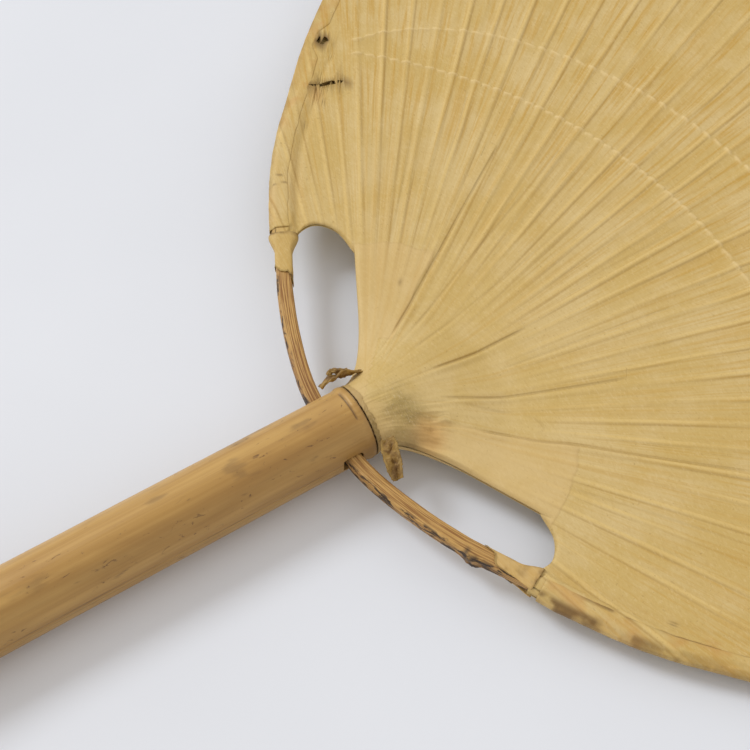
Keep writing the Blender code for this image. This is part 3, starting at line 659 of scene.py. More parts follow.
def flat_height(x, y, theta, r, front):
    """Height of a sheet's outer face above the mid plane, and what it is made of."""
    seed = 0 if front else 40
    k = rib_index(theta)
    odd = 0.0 if front else 1.0
    pitch_mm = np.radians(rib_pitch(theta)) * r
    near = (np.round((k - odd) / 2.0)) * 2.0 + odd
    p = (k - near) * pitch_mm
    other = (np.round((k - 1 + odd) / 2.0)) * 2.0 + 1 - odd
    q = (k - other) * pitch_mm
    on_ribs = sstep((k + 0.9) / 0.5) * sstep((RIBS - 0.1 - k) / 0.5)
    soft = np.minimum(1.0, pitch_mm * 2 / 3.2)
    top = np.exp(-(np.abs(p) / 0.66) ** 4) * (0.26 + 0.08 * vnoise(near * 1.7, r / 22, seed + 2))
    wide = np.exp(-(p / (1.35 * soft)) ** 2) * (0.30 + 0.10 * vnoise(near * 2.3, r / 30, seed + 4))
    low = np.exp(-(q / 0.55) ** 2) * (0.13 + 0.12 * vnoise(other * 1.9, r / 26, seed + 6))
    rise = sstep((r - 36.0) / 38.0)
    amp = (0.16 + 0.84 * rise) * (1.0 + 0.35 * fbm(near * 0.83, r / 34.0, seed + 16, 2))
    z = 1.04 + (0.62 * top + 0.52 * wide + 0.60 * low) * on_ribs * amp
    z = z + 0.07 * (1 - rise) * on_ribs - 0.10 * (1 - on_ribs)
    z = z + 0.075 * vnoise(k * 2.7, r / 16.0, seed + 17) * on_ribs * rise
    z = z + 0.10 * fbm(x / 26.0, y / 26.0, seed + 8, 3) + 0.05 * fbm(x / 6.0, y / 6.0, seed + 10, 3)
    z = z + 0.05 * fbm(theta * 0.9, r / 30.0, seed + 12, 3) * sstep((r - 40) / 40)
    # rows of twined thread: a short raised stitch over every rib
    rib = np.round(k)
    pk = (k - rib) * pitch_mm
    ok = (rib >= 0) & (rib <= RIBS - 1)
    for row, sgn in ((inner_row, 1.0), (outer_row, -1.0)):
        dr = r - row(theta) - sgn * 0.16 * pk * (1 if front else -1)
        stitch = sstep((1.42 - np.abs(pk)) / 0.42) * np.exp(-(dr / 0.42) ** 2) * ok
        z = z + stitch * (0.36 + 0.12 * vnoise(rib * 3.1, 4.0, seed + 14)) * on_ribs
        z = z + 0.30 * np.exp(-(dr / 2.3) ** 2) * on_ribs
        lift = np.exp(-(np.abs(dr) / 0.55) ** 3) * sstep((1.4 - np.abs(p)) / 0.3) * (np.abs(p) < 1.4)
        z = np.maximum(z, 1.82 * lift * on_ribs * (near >= 0) * (near < RIBS))
    # the ribs' own height is a floor
    z = np.maximum(z, 1.13 * on_ribs * sstep((0.75 - np.abs(p)) / 0.3) * (near >= 0) * (near < RIBS))
    return z, p


def sheet_z(x, y, theta, r, front, dist):
    """Height with the bow under it, the seams and the rim."""
    seed = 0 if front else 40
    z, p = flat_height(x, y, theta, r, front)
    db, sb, side_b = to_polyline(np.abs(x), y, BOW_RIGHT)
    k = bow_scale(sb)
    inside = side_b > 0
    beyond = (sb >= BOW_LEN - 0.01)
    need = 1.8 * k + 0.30 + 0.05 * fbm(sb / 5.0, x * 0, seed + 20, 3)
    need = need * np.where(beyond, sstep((2.4 - db) / 2.2), 1.0)
    w = 2.0 * k
    bulge = need * sstep((w + 1.9 - db) / 1.75)
    groove = 0.30 * np.exp(-((db - w - 2.3) / 0.9) ** 2) * inside * ~beyond
    z = np.maximum(z - groove, bulge)
    # the rim and the seams
    e = dist["rim"]
    z = np.minimum(z, 0.30 + 2.3 * (1 - np.exp(-np.maximum(e - 0.45, 0) / 0.85)))
    g = dist["gap"]
    z = np.minimum(z, 0.27 + 1.35 * (1 - np.exp(-np.maximum(g, 0) / 0.62)) + np.maximum(0.0, 1.0 * (g - 2.0)))
    return z


def sheet_columns(front):
    """Nominal direction and sideways offset (mm) of each column of the grid."""
    cols = []
    for k in range(RIBS):
        ridge = (k % 2 == 0) == front
        offs = (-1.65, -1.0, -0.62, -0.34, 0.0, 0.34, 0.62, 1.0, 1.65) if ridge else (-0.95, -0.42, 0.42, 0.95)
        cols += [(float(rib_angle(k)), o) for o in offs]
    return np.array(cols)


def fan_xy(theta, r):
    a = np.radians(theta)
    return r * np.sin(a), CENTRE_Y + r * np.cos(a)


def col_theta(theta0, off, r):
    pitch_mm = np.radians(rib_pitch(theta0)) * r
    s = np.minimum(1.0, 0.9 * pitch_mm / 2.65)
    return theta0 + np.degrees(off * s / r)


def build_sheet(name, front):
    face = 1.0 if front else -1.0
    cols = sheet_columns(front)
    th0, off = cols[:, 0][:, None], cols[:, 1][:, None]
    lo, hi = -SIDE_ANGLE[-1], SIDE_ANGLE[1]
    mix = (th0 - lo) / (hi - lo)
    corner = GAP_LEFT[0][1] * (1 - mix) + GAP_RIGHT[0][1] * mix

    # radii of the rows, from where the neck lies flat to the rim
    def span(a, b, n, first=False):
        f = np.linspace(0, 1, n + 1)[None, :] if first else np.linspace(0, 1, n + 1)[None, 1:]
        return a + (b - a) * f

    ri, ro = inner_row(th0), outer_row(th0)
    ro = np.maximum(ro, ri + 6.0)
    near = np.array([-1.5, -0.8, -0.45, -0.15, 0.15, 0.45, 0.8, 1.5])[None, :]
    reach = edge_radius(th0)
    rows = [span(FLAT_R + 0 * th0, corner, 8, True)]
    jc = 8
    rows.append(span(corner, ri - 1.5, 21)[:, :-1])
    rows.append(ri + near)
    rows.append(span(ri + 1.5, ro - 1.5, 9)[:, :-1])
    rows.append(ro + near)
    deep = 7.5
    o, n = outline_at(th0[:, 0])
    ray = np.stack([np.sin(np.radians(th0[:, 0])), np.cos(np.radians(th0[:, 0]))], -1)
    cosa = np.maximum((o * 0 + n * ray).sum(-1), 0.35)[:, None]
    rows.append(span(ro + 1.5, reach - deep / cosa, 15))
    rim_d = np.array([6.6, 5.8, 5.0, 4.2, 3.5, 2.8, 2.2, 1.65, 1.15, 0.75, 0.45])
    rows.append(reach - rim_d[None, :] / cosa)
    R = np.concatenate(rows, axis=1)
    TH = col_theta(th0, off, R)
    # the outline exactly, for the columns' own directions at the rim
    R[:, -len(rim_d):] = edge_radius(TH[:, -1:]) - rim_d[None, :] / cosa
    TH = col_theta(th0, off, R)
    # side columns
    def sides(A, B, fr):
        return A + (B - A) * np.array(fr)[:, None]
    nr = R.shape[1]

    def side_block(sgn):
        th = sgn * SIDE_ANGLE[sgn]
        c = GAP_LEFT[0][1] if sgn < 0 else GAP_RIGHT[0][1]
        t0 = np.array([[th]])
        a, b = inner_row(t0), np.maximum(outer_row(t0), inner_row(t0) + 6)
        oo, nn = outline_at(t0[:, 0])
        ry = np.array([[math.sin(math.radians(th)), math.cos(math.radians(th))]])
        ca = np.maximum((nn * ry).sum(-1), 0.35)[:, None]
        e = edge_radius(t0)
        rr = np.concatenate([span(FLAT_R + 0 * t0, np.array([[c]]), 8, True), span(np.array([[c]]), a - 1.5, 21)[:, :-1],
                             a + near, span(a + 1.5, b - 1.5, 9)[:, :-1], b + near,
                             span(b + 1.5, e - deep / ca, 15), e - rim_d[None, :] / ca], axis=1)
        edge_th = np.full((1, nr), th)
        inner_c = (R[:1], TH[:1]) if sgn < 0 else (R[-1:], TH[-1:])
        fr = [0.0, 0.14, 0.34, 0.62] if sgn < 0 else [0.62, 0.34, 0.14, 0.0]
        f = np.array(fr)[:, None]
        return rr + (inner_c[0] - rr) * f, edge_th + (inner_c[1] - edge_th) * f

    RL, TL = side_block(-1)
    RR, TR = side_block(1)
    R = np.concatenate([RL, R, RR])
    TH = np.concatenate([TL, TH, TR])
    nc = len(R)
    X, Y = fan_xy(TH, R)

    # neck rows, from the ring round the culm to the flat fan
    tn = np.concatenate([[0.0, 0.02, 0.045, 0.08], np.linspace(0.12, 1.0, 20)])[:-1]
    theta_flat = TH[:, 0]
    phi = lean(theta_flat)
    inner_cols = np.ones(nc)
    inner_cols[[0, -1]] = 0.0
    blend = np.minimum(np.abs(theta_flat - lo), np.abs(theta_flat - hi))
    phi = phi * (RING_SPAN + (1 - RING_SPAN) * np.exp(-blend / 0.6))
    T = np.tile(tn[None, :], (nc, 1))
    nn_ = len(tn)

    # lobes
    lobes = []
    nl = 46
    for sgn in (-1, 1):
        f = np.arange(1, nl + 1) / nl
        th = lobe_angle(sgn, f)
        g = gap_line(sgn, nl + 1)[1:]
        o, n = outline_at(th)
        c0 = 0 if sgn < 0 else nc - 1
        side_xy = np.stack([X[c0, jc:], Y[c0, jc:]], -1)
        line_s = arc_length(side_xy)
        nin = len(rim_d)
        frac = line_s[:-nin] / line_s[-nin]
        ray = np.stack([np.sin(np.radians(th)), np.cos(np.radians(th))], -1)
        m = sstep(f / 0.35)[:, None]
        dirv = n * m + ray * (1 - m)
        dirv /= np.linalg.norm(dirv, axis=1)[:, None]
        ca = np.maximum((dirv * n).sum(-1), 0.35)
        dist = np.linalg.norm(o - g, axis=1)
        deep_s = np.minimum(1.0, 0.62 * dist / rim_d[0])[:, None]
        rim_pts = o[:, None, :] - dirv[:, None, :] * (rim_d[None, :] * np.where(rim_d[None, :] > 2.0, deep_s, 1.0) / ca[:, None])[..., None]
        p0 = rim_pts[:, 0, :]
        body = g[:, None, :] + (p0 - g)[:, None, :] * frac[None, :, None]
        lobes.append(np.concatenate([body, rim_pts], axis=1))

    # distances used by the height field
    def fields(x, y):
        ax = np.abs(x)
        e, _, s_out = to_polyline(ax, y, RIM_LINE)
        gl = np.concatenate([np.array([[-34.0 * math.sin(math.radians(61.7)), CENTRE_Y + 34.0 * math.cos(math.radians(61.7))]]), gap_line(-1, 40)])
        gr = np.concatenate([np.array([[34.0 * math.sin(math.radians(64.2)), CENTRE_Y + 34.0 * math.cos(math.radians(64.2))]]), gap_line(1, 40)])
        d1, _, _ = to_polyline(x, y, gl)
        d2, _, _ = to_polyline(x, y, gr)
        return {"rim": e, "gap": np.minimum(d1, d2)}

    allx = np.concatenate([X.ravel()] + [l[..., 0].ravel() for l in lobes])
    ally = np.concatenate([Y.ravel()] + [l[..., 1].ravel() for l in lobes])
    allt = np.degrees(np.arctan2(allx, ally - CENTRE_Y))
    allr = np.hypot(allx, ally - CENTRE_Y)
    dist = fields(allx, ally)
    z = sheet_z(allx, ally, allt, allr, front, dist)

    lines = CREASES if front else [([(-t, r_) for t, r_ in pts], d * 0.8, c) for pts, d, c in CREASES[:7:2]]
    cf = crease_fields(allx, ally, lines)
    for sd, pw in cf:
        z = z - pw * 0.20 * np.exp(-(sd / 0.50) ** 2) + pw * 0.20 * np.exp(-((sd - 1.1) / 0.9) ** 2) \
            + pw * 0.10 * np.exp(-((sd + 1.2) / 1.0) ** 2)
    patch = patch_field(allt, allr, front)
    z = z + 0.07 * sstep((patch + 0.4) / 0.8)

    nmain = nc * nr
    Z = z[:nmain].reshape(nc, nr)
    # neck: heights run from the ring to the flat fan's first row
    ring_w = vnoise(theta_flat / 2.2, 0 * theta_flat, 31 + (0 if front else 9))
    ring_r = 8.72 + 0.06 * ring_w
    PL = neck_plan(theta_flat[:, None], phi[:, None], ring_r[:, None], HEAD_Y + 0.32 + 0 * T, T)
    z0 = (ring_r * np.cos(np.radians(phi)))[:, None]
    z1 = Z[:, :1]
    side_fade = sstep(blend / 1.6)[:, None]
    swell = 0.55 * side_fade * np.sin(np.pi * T)
    wr = 0.20 * fbm(theta_flat[:, None] / 13.0 + 0 * T, T * 2.4, 51 + (0 if front else 9), 3) * side_fade
    wr = wr * np.sin(np.pi * np.clip(T, 0.05, 1)) ** 0.7
    ZN = z1 + (z0 - z1) * (1.0 - sstep(T)) + swell + wr
    ncf = crease_fields(PL[..., 0].ravel(), PL[..., 1].ravel(), lines)
    for sd, pw in ncf:
        sd, pw = sd.reshape(T.shape), pw.reshape(T.shape)
        ZN = ZN + (0.30 * pw * np.exp(-((sd - 1.1) / 0.9) ** 2) - 0.22 * pw * np.exp(-(sd / 0.50) ** 2)) * sstep((T - 0.15) / 0.2) * sstep((0.98 - T) / 0.05 + 1)
    if front:
        # the crushed patch right of the middle, and the glued threads beside it
        gx, gy = PL[..., 0], PL[..., 1]
        lump = np.exp(-(np.hypot((gx - 13.0) / 5.0, (gy - 16.0) / 4.2)) ** 3)
        ZN = ZN + lump * 1.15 * fbm(gx / 1.8, gy / 1.8, 57, 3) * sstep(T / 0.25)
        damp = np.exp(-(np.hypot((gx - 6.0) / 7.0, (gy - 9.0) / 3.6)) ** 3)
        ZN = ZN + damp * 0.30 * fbm(gx / 0.9, gy / 2.6, 58, 3) * sstep(T / 0.12)
    NV = np.concatenate([PL, ZN[..., None]], -1)
    FV = np.stack([X, Y, Z], -1)
    G = np.concatenate([NV, FV], axis=1)
    nrow = nn_ + nr
    verts = [G.reshape(-1, 3)]
    quads = [grid_quads(nc, nrow)]
    idx = np.arange(nc * nrow).reshape(nc, nrow)
    attr_xy = [G[..., :2].reshape(-1, 2)]
    at = nmain
    base = nc * nrow
    lobe_index = {}
    for sgn, l in zip((-1, 1), lobes):
        cnt = l.shape[0] * l.shape[1]
        lz = z[at:at + cnt].reshape(l.shape[:2])
        at += cnt
        verts.append(np.concatenate([l, lz[..., None]], -1).reshape(-1, 3))
        ids = base + np.arange(cnt).reshape(l.shape[:2])
        base += cnt
        c0 = 0 if sgn < 0 else nc - 1
        full = np.concatenate([idx[c0:c0 + 1, nn_ + jc:], ids])
        lobe_index[sgn] = full
        a, b = full[:-1, :-1], full[1:, :-1]
        c, d = full[1:, 1:], full[:-1, 1:]
        qs = np.stack([a, b, c, d], -1).reshape(-1, 4)
        quads.append(qs[:, ::-1] if sgn > 0 else qs)
    V = np.concatenate(verts)
    Q = np.concatenate(quads)
    return V, Q, {"lobes": lobe_index, "nn": nn_, "jc": jc, "idx": idx, "face": face}


def open_up(V, Q, inside, outline):
    """Leaves out the faces in a region, and draws the border they leave on to an outline."""
    centre = V[Q].mean(axis=1)
    drop = inside(centre[:, 0], centre[:, 1])
    kept = Q[~drop]
    border = np.intersect1d(np.unique(Q[drop]), np.unique(kept))
    loop = np.vstack([outline, outline[:1]])
    a, d = loop[:-1], np.diff(loop, axis=0)
    V = V.copy()
    for v in border:
        t_ = np.clip(((V[v, :2] - a) * d).sum(1) / np.maximum((d * d).sum(1), 1e-12), 0, 1)
        q = a + d * t_[:, None]
        V[v, :2] = q[np.argmin(np.hypot(*(q - V[v, :2]).T))]
    used, flat = np.unique(kept, return_inverse=True)
    return V[used], flat.reshape(kept.shape)


def in_loop(x, y, loop):
    """Whether points lie inside a closed outline."""
    out = np.zeros(x.shape, bool)
    p = np.asarray(loop, float)
    for (x0, y0), (x1, y1) in zip(p, np.roll(p, -1, axis=0)):
        cross_ = (y0 > y) != (y1 > y)
        with np.errstate(divide="ignore", invalid="ignore"):
            at = (x1 - x0) * (y - y0) / (y1 - y0) + x0
        out ^= cross_ & (x < at)
    return out


# a hole and a tear in the front sheet, upper left
HOLE = [(-112.4, 58.1), (-111.4, 59.9), (-109.8, 60.5), (-108.8, 59.5), (-109.0, 57.8), (-110.3, 56.8), (-111.8, 56.9)]
TEAR = [(-97.5, 46.2), (-96.6, 47.9), (-95.9, 50.3), (-95.2, 52.8), (-94.0, 55.2), (-92.6, 57.0)]


def tear_outline():
    line = resample(spline(TEAR, per=8), 31)
    g = np.gradient(line, axis=0)
    g /= np.linalg.norm(g, axis=1)[:, None]
    f = np.linspace(0, 1, 31)
    w = 0.06 + (0.50 + 0.18 * fbm(f * 7, 0 * f, 305, 3)) * np.sin(np.pi * np.clip(f * 0.96 + 0.02, 0, 1)) ** 0.5
    n = np.stack([-g[:, 1], g[:, 0]], -1) * w[:, None]
    return np.concatenate([line + n, (line - n)[::-1]])


def sheet_attributes(obj, V, n_outer, front):
    x, y = V[:, 0], V[:, 1]
    theta = np.degrees(np.arctan2(x, y - CENTRE_Y))
    r = np.hypot(x, y - CENTRE_Y)
    # on the turn of the neck the direction round the culm stands for the direction of the fan
    u = rib_index(theta)
    if not front:
        u = u - 1.0
    lines = CREASES if front else [([(-t, r_) for t, r_ in pts], d * 0.8, c) for pts, d, c in CREASES[:7:2]]
    (sa, pa), (sb, pb) = crease_fields(x, y, lines)
    patch = patch_field(theta, r, front)
    e, _, _ = to_polyline(np.abs(x), y, RIM_LINE)
    put_vector(obj, "fan", np.stack([theta, r, u], -1))
    put_vector(obj, "marks", np.stack([sa, sb, patch], -1))
    put_vector(obj, "power", np.stack([pa, pb, e], -1))
    a = obj.data.attributes.new("pitch", "FLOAT", "POINT")
    a.data.foreach_set("value", rib_pitch(theta).astype(np.float32))
    # mask of the painted highlight on the raised stitches over the rows of thread
    painted_stitch_highlight = np.zeros(len(V))
    ribs_ = np.round(rib_index(theta))
    pk = (rib_index(theta) - ribs_) * np.radians(rib_pitch(theta)) * r
    for row, sgn in ((inner_row, 1.0), (outer_row, -1.0)):
        dr = r - row(theta) - sgn * 0.16 * pk * (1 if front else -1)
        painted_stitch_highlight = np.maximum(painted_stitch_highlight, np.exp(-(dr / 0.50) ** 2) * sstep((1.45 - np.abs(pk)) / 0.5) * (ribs_ >= 0) * (ribs_ < RIBS))
    d_ = obj.data.attributes.new("painted_stitch_highlight", "FLOAT", "POINT")
    d_.data.foreach_set("value", painted_stitch_highlight.astype(np.float32))
    dirt_and_shade = np.zeros(len(V))
    orange = np.zeros(len(V))
    glue = np.zeros(len(V))

    def spot(field, cx, cy, rad, amount, power=2.0):
        d = np.hypot(x - cx, y - cy)
        return np.maximum(field, amount * np.exp(-(d / rad) ** power))

    if front:
        # glue-soaked neck, right of its middle
        gd = np.hypot((x - 6.5) / 8.5, (y - 12.0) / 6.5)
        glue = np.maximum(glue, np.clip(1.25 - gd, 0, 1) * (0.6 + 0.5 * fbm(x / 3.0, y / 3.0, 61, 3)))
        glue = np.clip(glue, 0, 1)
        orange = np.maximum(orange, 0.50 * np.exp(-(np.hypot((x - 13.8) / 4.2, (y - 14.4) / 3.6)) ** 3))
        for cx, cy, rad, am in ((-97.3, 58.1, 0.55, 0.9), (-90.6, 47.1, 0.55, 0.8), (-85.7, 38.5, 0.6, 0.7),
                                (-55.3, 11.6, 1.5, 0.95), (-28.1, 32.5, 0.5, 0.5), (80.4, 34.8, 0.6, 0.7)):
            dirt_and_shade = spot(dirt_and_shade, cx, cy, rad, am)
        orange = spot(orange, 88.4, 38.9, 1.0, 0.6)
        # painted shade: a dark patch on the neck's right side, which faces away from the light
        dirt_and_shade = spot(dirt_and_shade, 12.6, 10.6, 2.2, 0.45)
        # brown lips of the hole and the tear
        th_, _, _ = to_polyline(x, y, np.array([*HOLE, HOLE[0]]))
        dirt_and_shade = np.maximum(dirt_and_shade, 0.8 * np.exp(-(th_ / 0.35) ** 2))
        td, _, _ = to_polyline(x, y, spline(TEAR, per=6))
        dirt_and_shade = np.maximum(dirt_and_shade, 0.65 * np.exp(-(td / 0.75) ** 2))
        orange = np.maximum(orange, 0.40 * np.exp(-(np.hypot((x + 94.2) / 2.6, (y - 46.6) / 2.4)) ** 3))
        dirt_and_shade = np.maximum(dirt_and_shade, 0.45 * np.exp(-(np.hypot((x + 95.6) / 1.5, (y - 46.4) / 1.3)) ** 3) * (0.6 + 0.6 * fbm(x, y, 65, 3)))
        # browned outer edge of the left lobe
        orange = np.maximum(orange, 0.42 * np.exp(-(np.maximum(e - 0.2, 0) / 2.4)) * sstep((-60.0 - theta) / 6.0)
                            * sstep(0.35 + fbm(x / 5.0, y / 5.0, 67, 3)))
    dirt_and_shade = np.maximum(dirt_and_shade, 0.30 * np.exp(-(np.maximum(e - 0.2, 0) / 0.7)) * (0.5 + 0.5 * fbm(x / 4, y / 4, 71, 3)))
    # darker where the sheet runs into the mouth of the culm
    dirt_and_shade = np.maximum(dirt_and_shade, 0.75 * sstep((HEAD_Y + 1.15 - y) / 0.8) * (np.hypot(x, V[:, 2]) < 10.0))
    put_vector(obj, "stain_and_shade", np.clip(np.stack([dirt_and_shade, orange, glue], -1), 0, 1))


def finish_sheet(name, front, node):
    V, Q, info = build_sheet(name, front)
    if front:
        # lips that stand up beside the tear and the hole
        d, _, side = to_polyline(V[:, 0], V[:, 1], spline(TEAR, per=6))
        V[:, 2] += np.where(side > 0, 0.42, 0.12) * np.exp(-(d / 1.3) ** 2)
        V[:, 2] += 0.65 * np.exp(-(np.hypot((V[:, 0] + 94.4) / 2.0, (V[:, 1] - 46.2) / 2.0)) ** 4) * (1 + 0.6 * fbm(V[:, 0] / 0.9, V[:, 1] / 0.9, 63, 2))
        d, _, side = to_polyline(V[:, 0], V[:, 1], np.array([*HOLE, HOLE[0]]))
        V[:, 2] += 0.25 * np.exp(-(d / 0.7) ** 2)
        V[:, 2] += 0.75 * np.exp(-(np.hypot((V[:, 0] + 107.8) / 1.4, (V[:, 1] - 59.1) / 1.6)) ** 3)
        V, Q = open_up(V, Q, lambda x, y: in_loop(x, y, HOLE), np.array(HOLE))
        V, Q = open_up(V, Q, lambda x, y: to_polyline(x, y, spline(TEAR, per=6))[0] < 0.95, tear_outline())
    n = len(V)
    # surface orientation
    nrm = vertex_normals(V, Q)
    if np.sum(nrm[:, 2]) < 0:
        Q = Q[:, ::-1]
    W, F = shell(V, Q, PAPER_T)
    if not front:
        W = W * np.array([1.0, 1.0, -1.0])
        F = F[:, ::-1]
    obj = make_mesh(name, W, F)
    sheet_attributes(obj, W, n, front)
    dress(obj, MATS["paper_front" if front else "paper_back"])
    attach(obj, "root")
    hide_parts(node)
    return obj


# ================================================================================
# handle
# ================================================================================
def build_handle():
    nphi = 224
    # profile of the outside, fine near the head
    ys = np.concatenate([np.linspace(2.55, -12.0, 64), np.linspace(-12.9, BUTT_Y + 0.9, 118)])

    def radius(y):
        r = HANDLE_R + 0.15 * np.clip((-y - 70.0) / 65.0, 0, 1) + 0 * y
        # the swollen node, then the skin runs on
        r = r + 0.36 * np.exp(-((y - 1.75) / 0.95) ** 2) + 0.05 * np.exp(-((y + 2.0) / 2.5) ** 2)
        return r

    phi = np.arange(nphi) / nphi * 2 * np.pi
    P, Yg = np.meshgrid(phi, ys)
    r = radius(Yg)
    deg = (np.degrees(P) + 180) % 360 - 180
    # long shallow waves of the culm, fibres and dents
    r = r + 0.045 * fbm(3.0 * np.cos(P) + 9, Yg / 30.0 + 3.0 * np.sin(P), 81, 3)
    r = r + 0.018 * fbm(16.0 * np.cos(P) + 5, 16.0 * np.sin(P) + Yg / 14.0, 83, 3)
    # the bud's furrow that runs down the lower right side
    furrow = np.exp(-(((deg - 84.0 - 0.02 * Yg) / 1.5) ** 2)) + 0.55 * np.exp(-(((deg - 91.5 - 0.02 * Yg) / 1.2) ** 2))
    fade = sstep((-4.0 - Yg) / 4.0)
    r = r - 0.13 * furrow * fade + 0.05 * np.exp(-(((deg - 87.5 - 0.02 * Yg) / 2.5) ** 2)) * fade
    # slit in the skin along the node
    slit = np.exp(-((Yg - 0.75 - 0.10 * fbm(deg / 14.0, 0 * Yg, 87, 2)) / 0.22) ** 2) * sstep((deg + 34) / 8) * sstep((30 - deg) / 10)
    r = r - 0.30 * slit
    band = np.exp(-((Yg - 1.55) / 0.5) ** 2) * sstep((deg + 26) / 8) * sstep((40 - deg) / 10)
    r = r + 0.07 * band * (1 + fbm(deg / 4.0, Yg / 1.0, 89, 3))
    ring = np.stack([r * np.sin(P), Yg, r * np.cos(P)], -1)
    rows = [ring]

    def turned(rr, y, wob=0.0, seed=0):
        rad = rr + wob * fbm(8 * np.cos(phi) + 3, 8 * np.sin(phi), seed, 3)
        return np.stack([rad * np.sin(phi), y + wob * 0.6 * fbm(11 * np.cos(phi), 11 * np.sin(phi) + 5, seed + 1, 3) + 0 * phi,
                         rad * np.cos(phi)], -1)[None]

    head = [turned(2.2, HEAD_Y - 0.25), turned(5.0, HEAD_Y - 0.22), turned(7.4, HEAD_Y - 0.18),
            turned(8.55, HEAD_Y - 0.12, 0.03, 91), turned(8.95, HEAD_Y - 0.05, 0.03, 93), turned(9.2, HEAD_Y - 0.16, 0.03, 95)]
    grow = HANDLE_R + 0.15
    butt = [turned(grow - 0.05, BUTT_Y + 0.45, 0.02, 97), turned(grow - 0.2, BUTT_Y + 0.12, 0.03, 99),
            turned(grow - 0.5, BUTT_Y + 0.02, 0.03, 101), turned(8.0, BUTT_Y, 0.03, 103), turned(7.3, BUTT_Y + 0.02, 0.03, 104),
            turned(6.6, BUTT_Y, 0.04, 105), turned(6.3, BUTT_Y + 0.12, 0.05, 107), turned(6.12, BUTT_Y + 0.5, 0.05, 109)]
    bore = [turned(BORE_R, y, 0.05, 111 + i) for i, y in enumerate(np.linspace(BUTT_Y + 3, SEPTUM_Y - 1.8, 26))]
    bore += [turned(5.4, SEPTUM_Y - 0.9), turned(4.4, SEPTUM_Y - 0.35), turned(2.2, SEPTUM_Y - 0.05)]
    grid = np.concatenate(head + rows + butt + bore)
    nrow = len(grid)
    verts = grid.reshape(-1, 3)
    quads = grid_quads(nrow, nphi, close_cols=True)
    top, bottom = len(verts), len(verts) + 1
    verts = np.concatenate([verts, [[0, HEAD_Y - 0.25, 0], [0, SEPTUM_Y, 0]]])
    i = np.arange(nphi)
    j = (i + 1) % nphi
    tris = np.concatenate([np.stack([np.full(nphi, top), j, i], -1),
                           np.stack([np.full(nphi, bottom), (nrow - 1) * nphi + i, (nrow - 1) * nphi + j], -1)])
    # outward faces
    nrm = vertex_normals(verts, quads)
    mid = (len(head) + 20) * nphi
    if nrm[mid] @ (verts[mid] * np.array([1, 0, 1])) < 0:
        quads, tris = quads[:, ::-1], tris[:, ::-1]
    obj = make_mesh("bamboo_handle", verts, quads, tris)

    # the slot for the bow, a little ragged
    cut_slot(obj)
    me = obj.data
    co = np.zeros(len(me.vertices) * 3, np.float32)
    me.vertices.foreach_get("co", co)
    v = co.reshape(-1, 3) / MM - SHIFT
    deg = np.degrees(np.arctan2(v[:, 0], v[:, 2]))
    rad = np.hypot(v[:, 0], v[:, 2])
    y = v[:, 1]
    skin = sstep((rad - 8.6) / 0.2)
    stain_and_shade = 0.35 * sstep(fbm(deg / 20, y / 9, 121, 4) * 1.6 - 0.75)
    stain_and_shade = np.maximum(stain_and_shade, 0.55 * np.exp(-((y - 2.75) / 0.28) ** 2))
    stain_and_shade = np.maximum(stain_and_shade, 0.85 * np.exp(-((y - 0.75) / 0.24) ** 2) * sstep((deg + 34) / 8) * sstep((30 - deg) / 10))

    def streak(cy, cd, ly, ld, amount, tilt=0.0):
        dd = deg - cd - tilt * (y - cy)
        return amount * np.exp(-(np.abs((y - cy) / ly)) ** 2.5 - (dd / ld) ** 2)

    for s in ((-62.5, 62.0, 2.6, 1.6, 0.8, -1.1), (-64.0, 66.0, 2.2, 1.0, 0.5, -1.0), (-12.0, 45.0, 1.1, 2.4, 0.6, 0.0),
              (-13.0, 46.5, 0.6, 3.6, 0.5, 0.0), (-20.5, 78.0, 3.0, 1.0, 0.8, 0.0), (-28.0, 76.0, 5.0, 0.8, 0.7, 0.0),
              (-9.0, 54.0, 2.4, 1.0, 0.5, 1.6), (-30.5, 44.0, 0.6, 1.4, 0.7, 0.0), (-72.0, 42.0, 0.6, 1.2, 0.6, 0.0),
              (-98.0, 5.0, 0.5, 1.4, 0.7, 0.0), (-101.5, 9.0, 0.5, 1.8, 0.6, 0.0), (-95.0, 2.0, 1.4, 0.8, 0.5, 2.0),
              (-93.5, 12.0, 1.6, 0.8, 0.5, -2.0), (-99.0, -8.0, 0.8, 1.4, 0.5, 0.0)):
        stain_and_shade = np.maximum(stain_and_shade, streak(*s))
    groove = (np.exp(-(((deg - 84.0 - 0.02 * y) / 1.3) ** 2)) + 0.6 * np.exp(-(((deg - 91.5 - 0.02 * y) / 1.0) ** 2))) \
        * sstep((-4.0 - y) / 4.0) * (0.55 + 0.45 * fbm(y / 6.0, 0 * y, 131, 3))
    # painted shade: browner along the lower right side, which faces away from the light
    stain_and_shade = np.maximum(stain_and_shade, (0.26 + 0.06 * fbm(deg / 9.0, y / 14.0, 133, 3)) * sstep((deg - 2.0) / 42.0) * sstep((150.0 - deg) / 30.0))
    cut = np.where((y < BUTT_Y + 0.55) & (rad < 9.0), 1.0, 0.0)
    cut = np.maximum(cut, np.where((rad < 8.75) & (y > BUTT_Y + 0.4), 0.9, 0.0))
    put_vector(obj, "marks", np.clip(np.stack([stain_and_shade * skin, groove * skin, cut], -1), 0, 1))
    dress(obj, bamboo_material())
    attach(obj, "root")
    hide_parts("handle")
    return obj


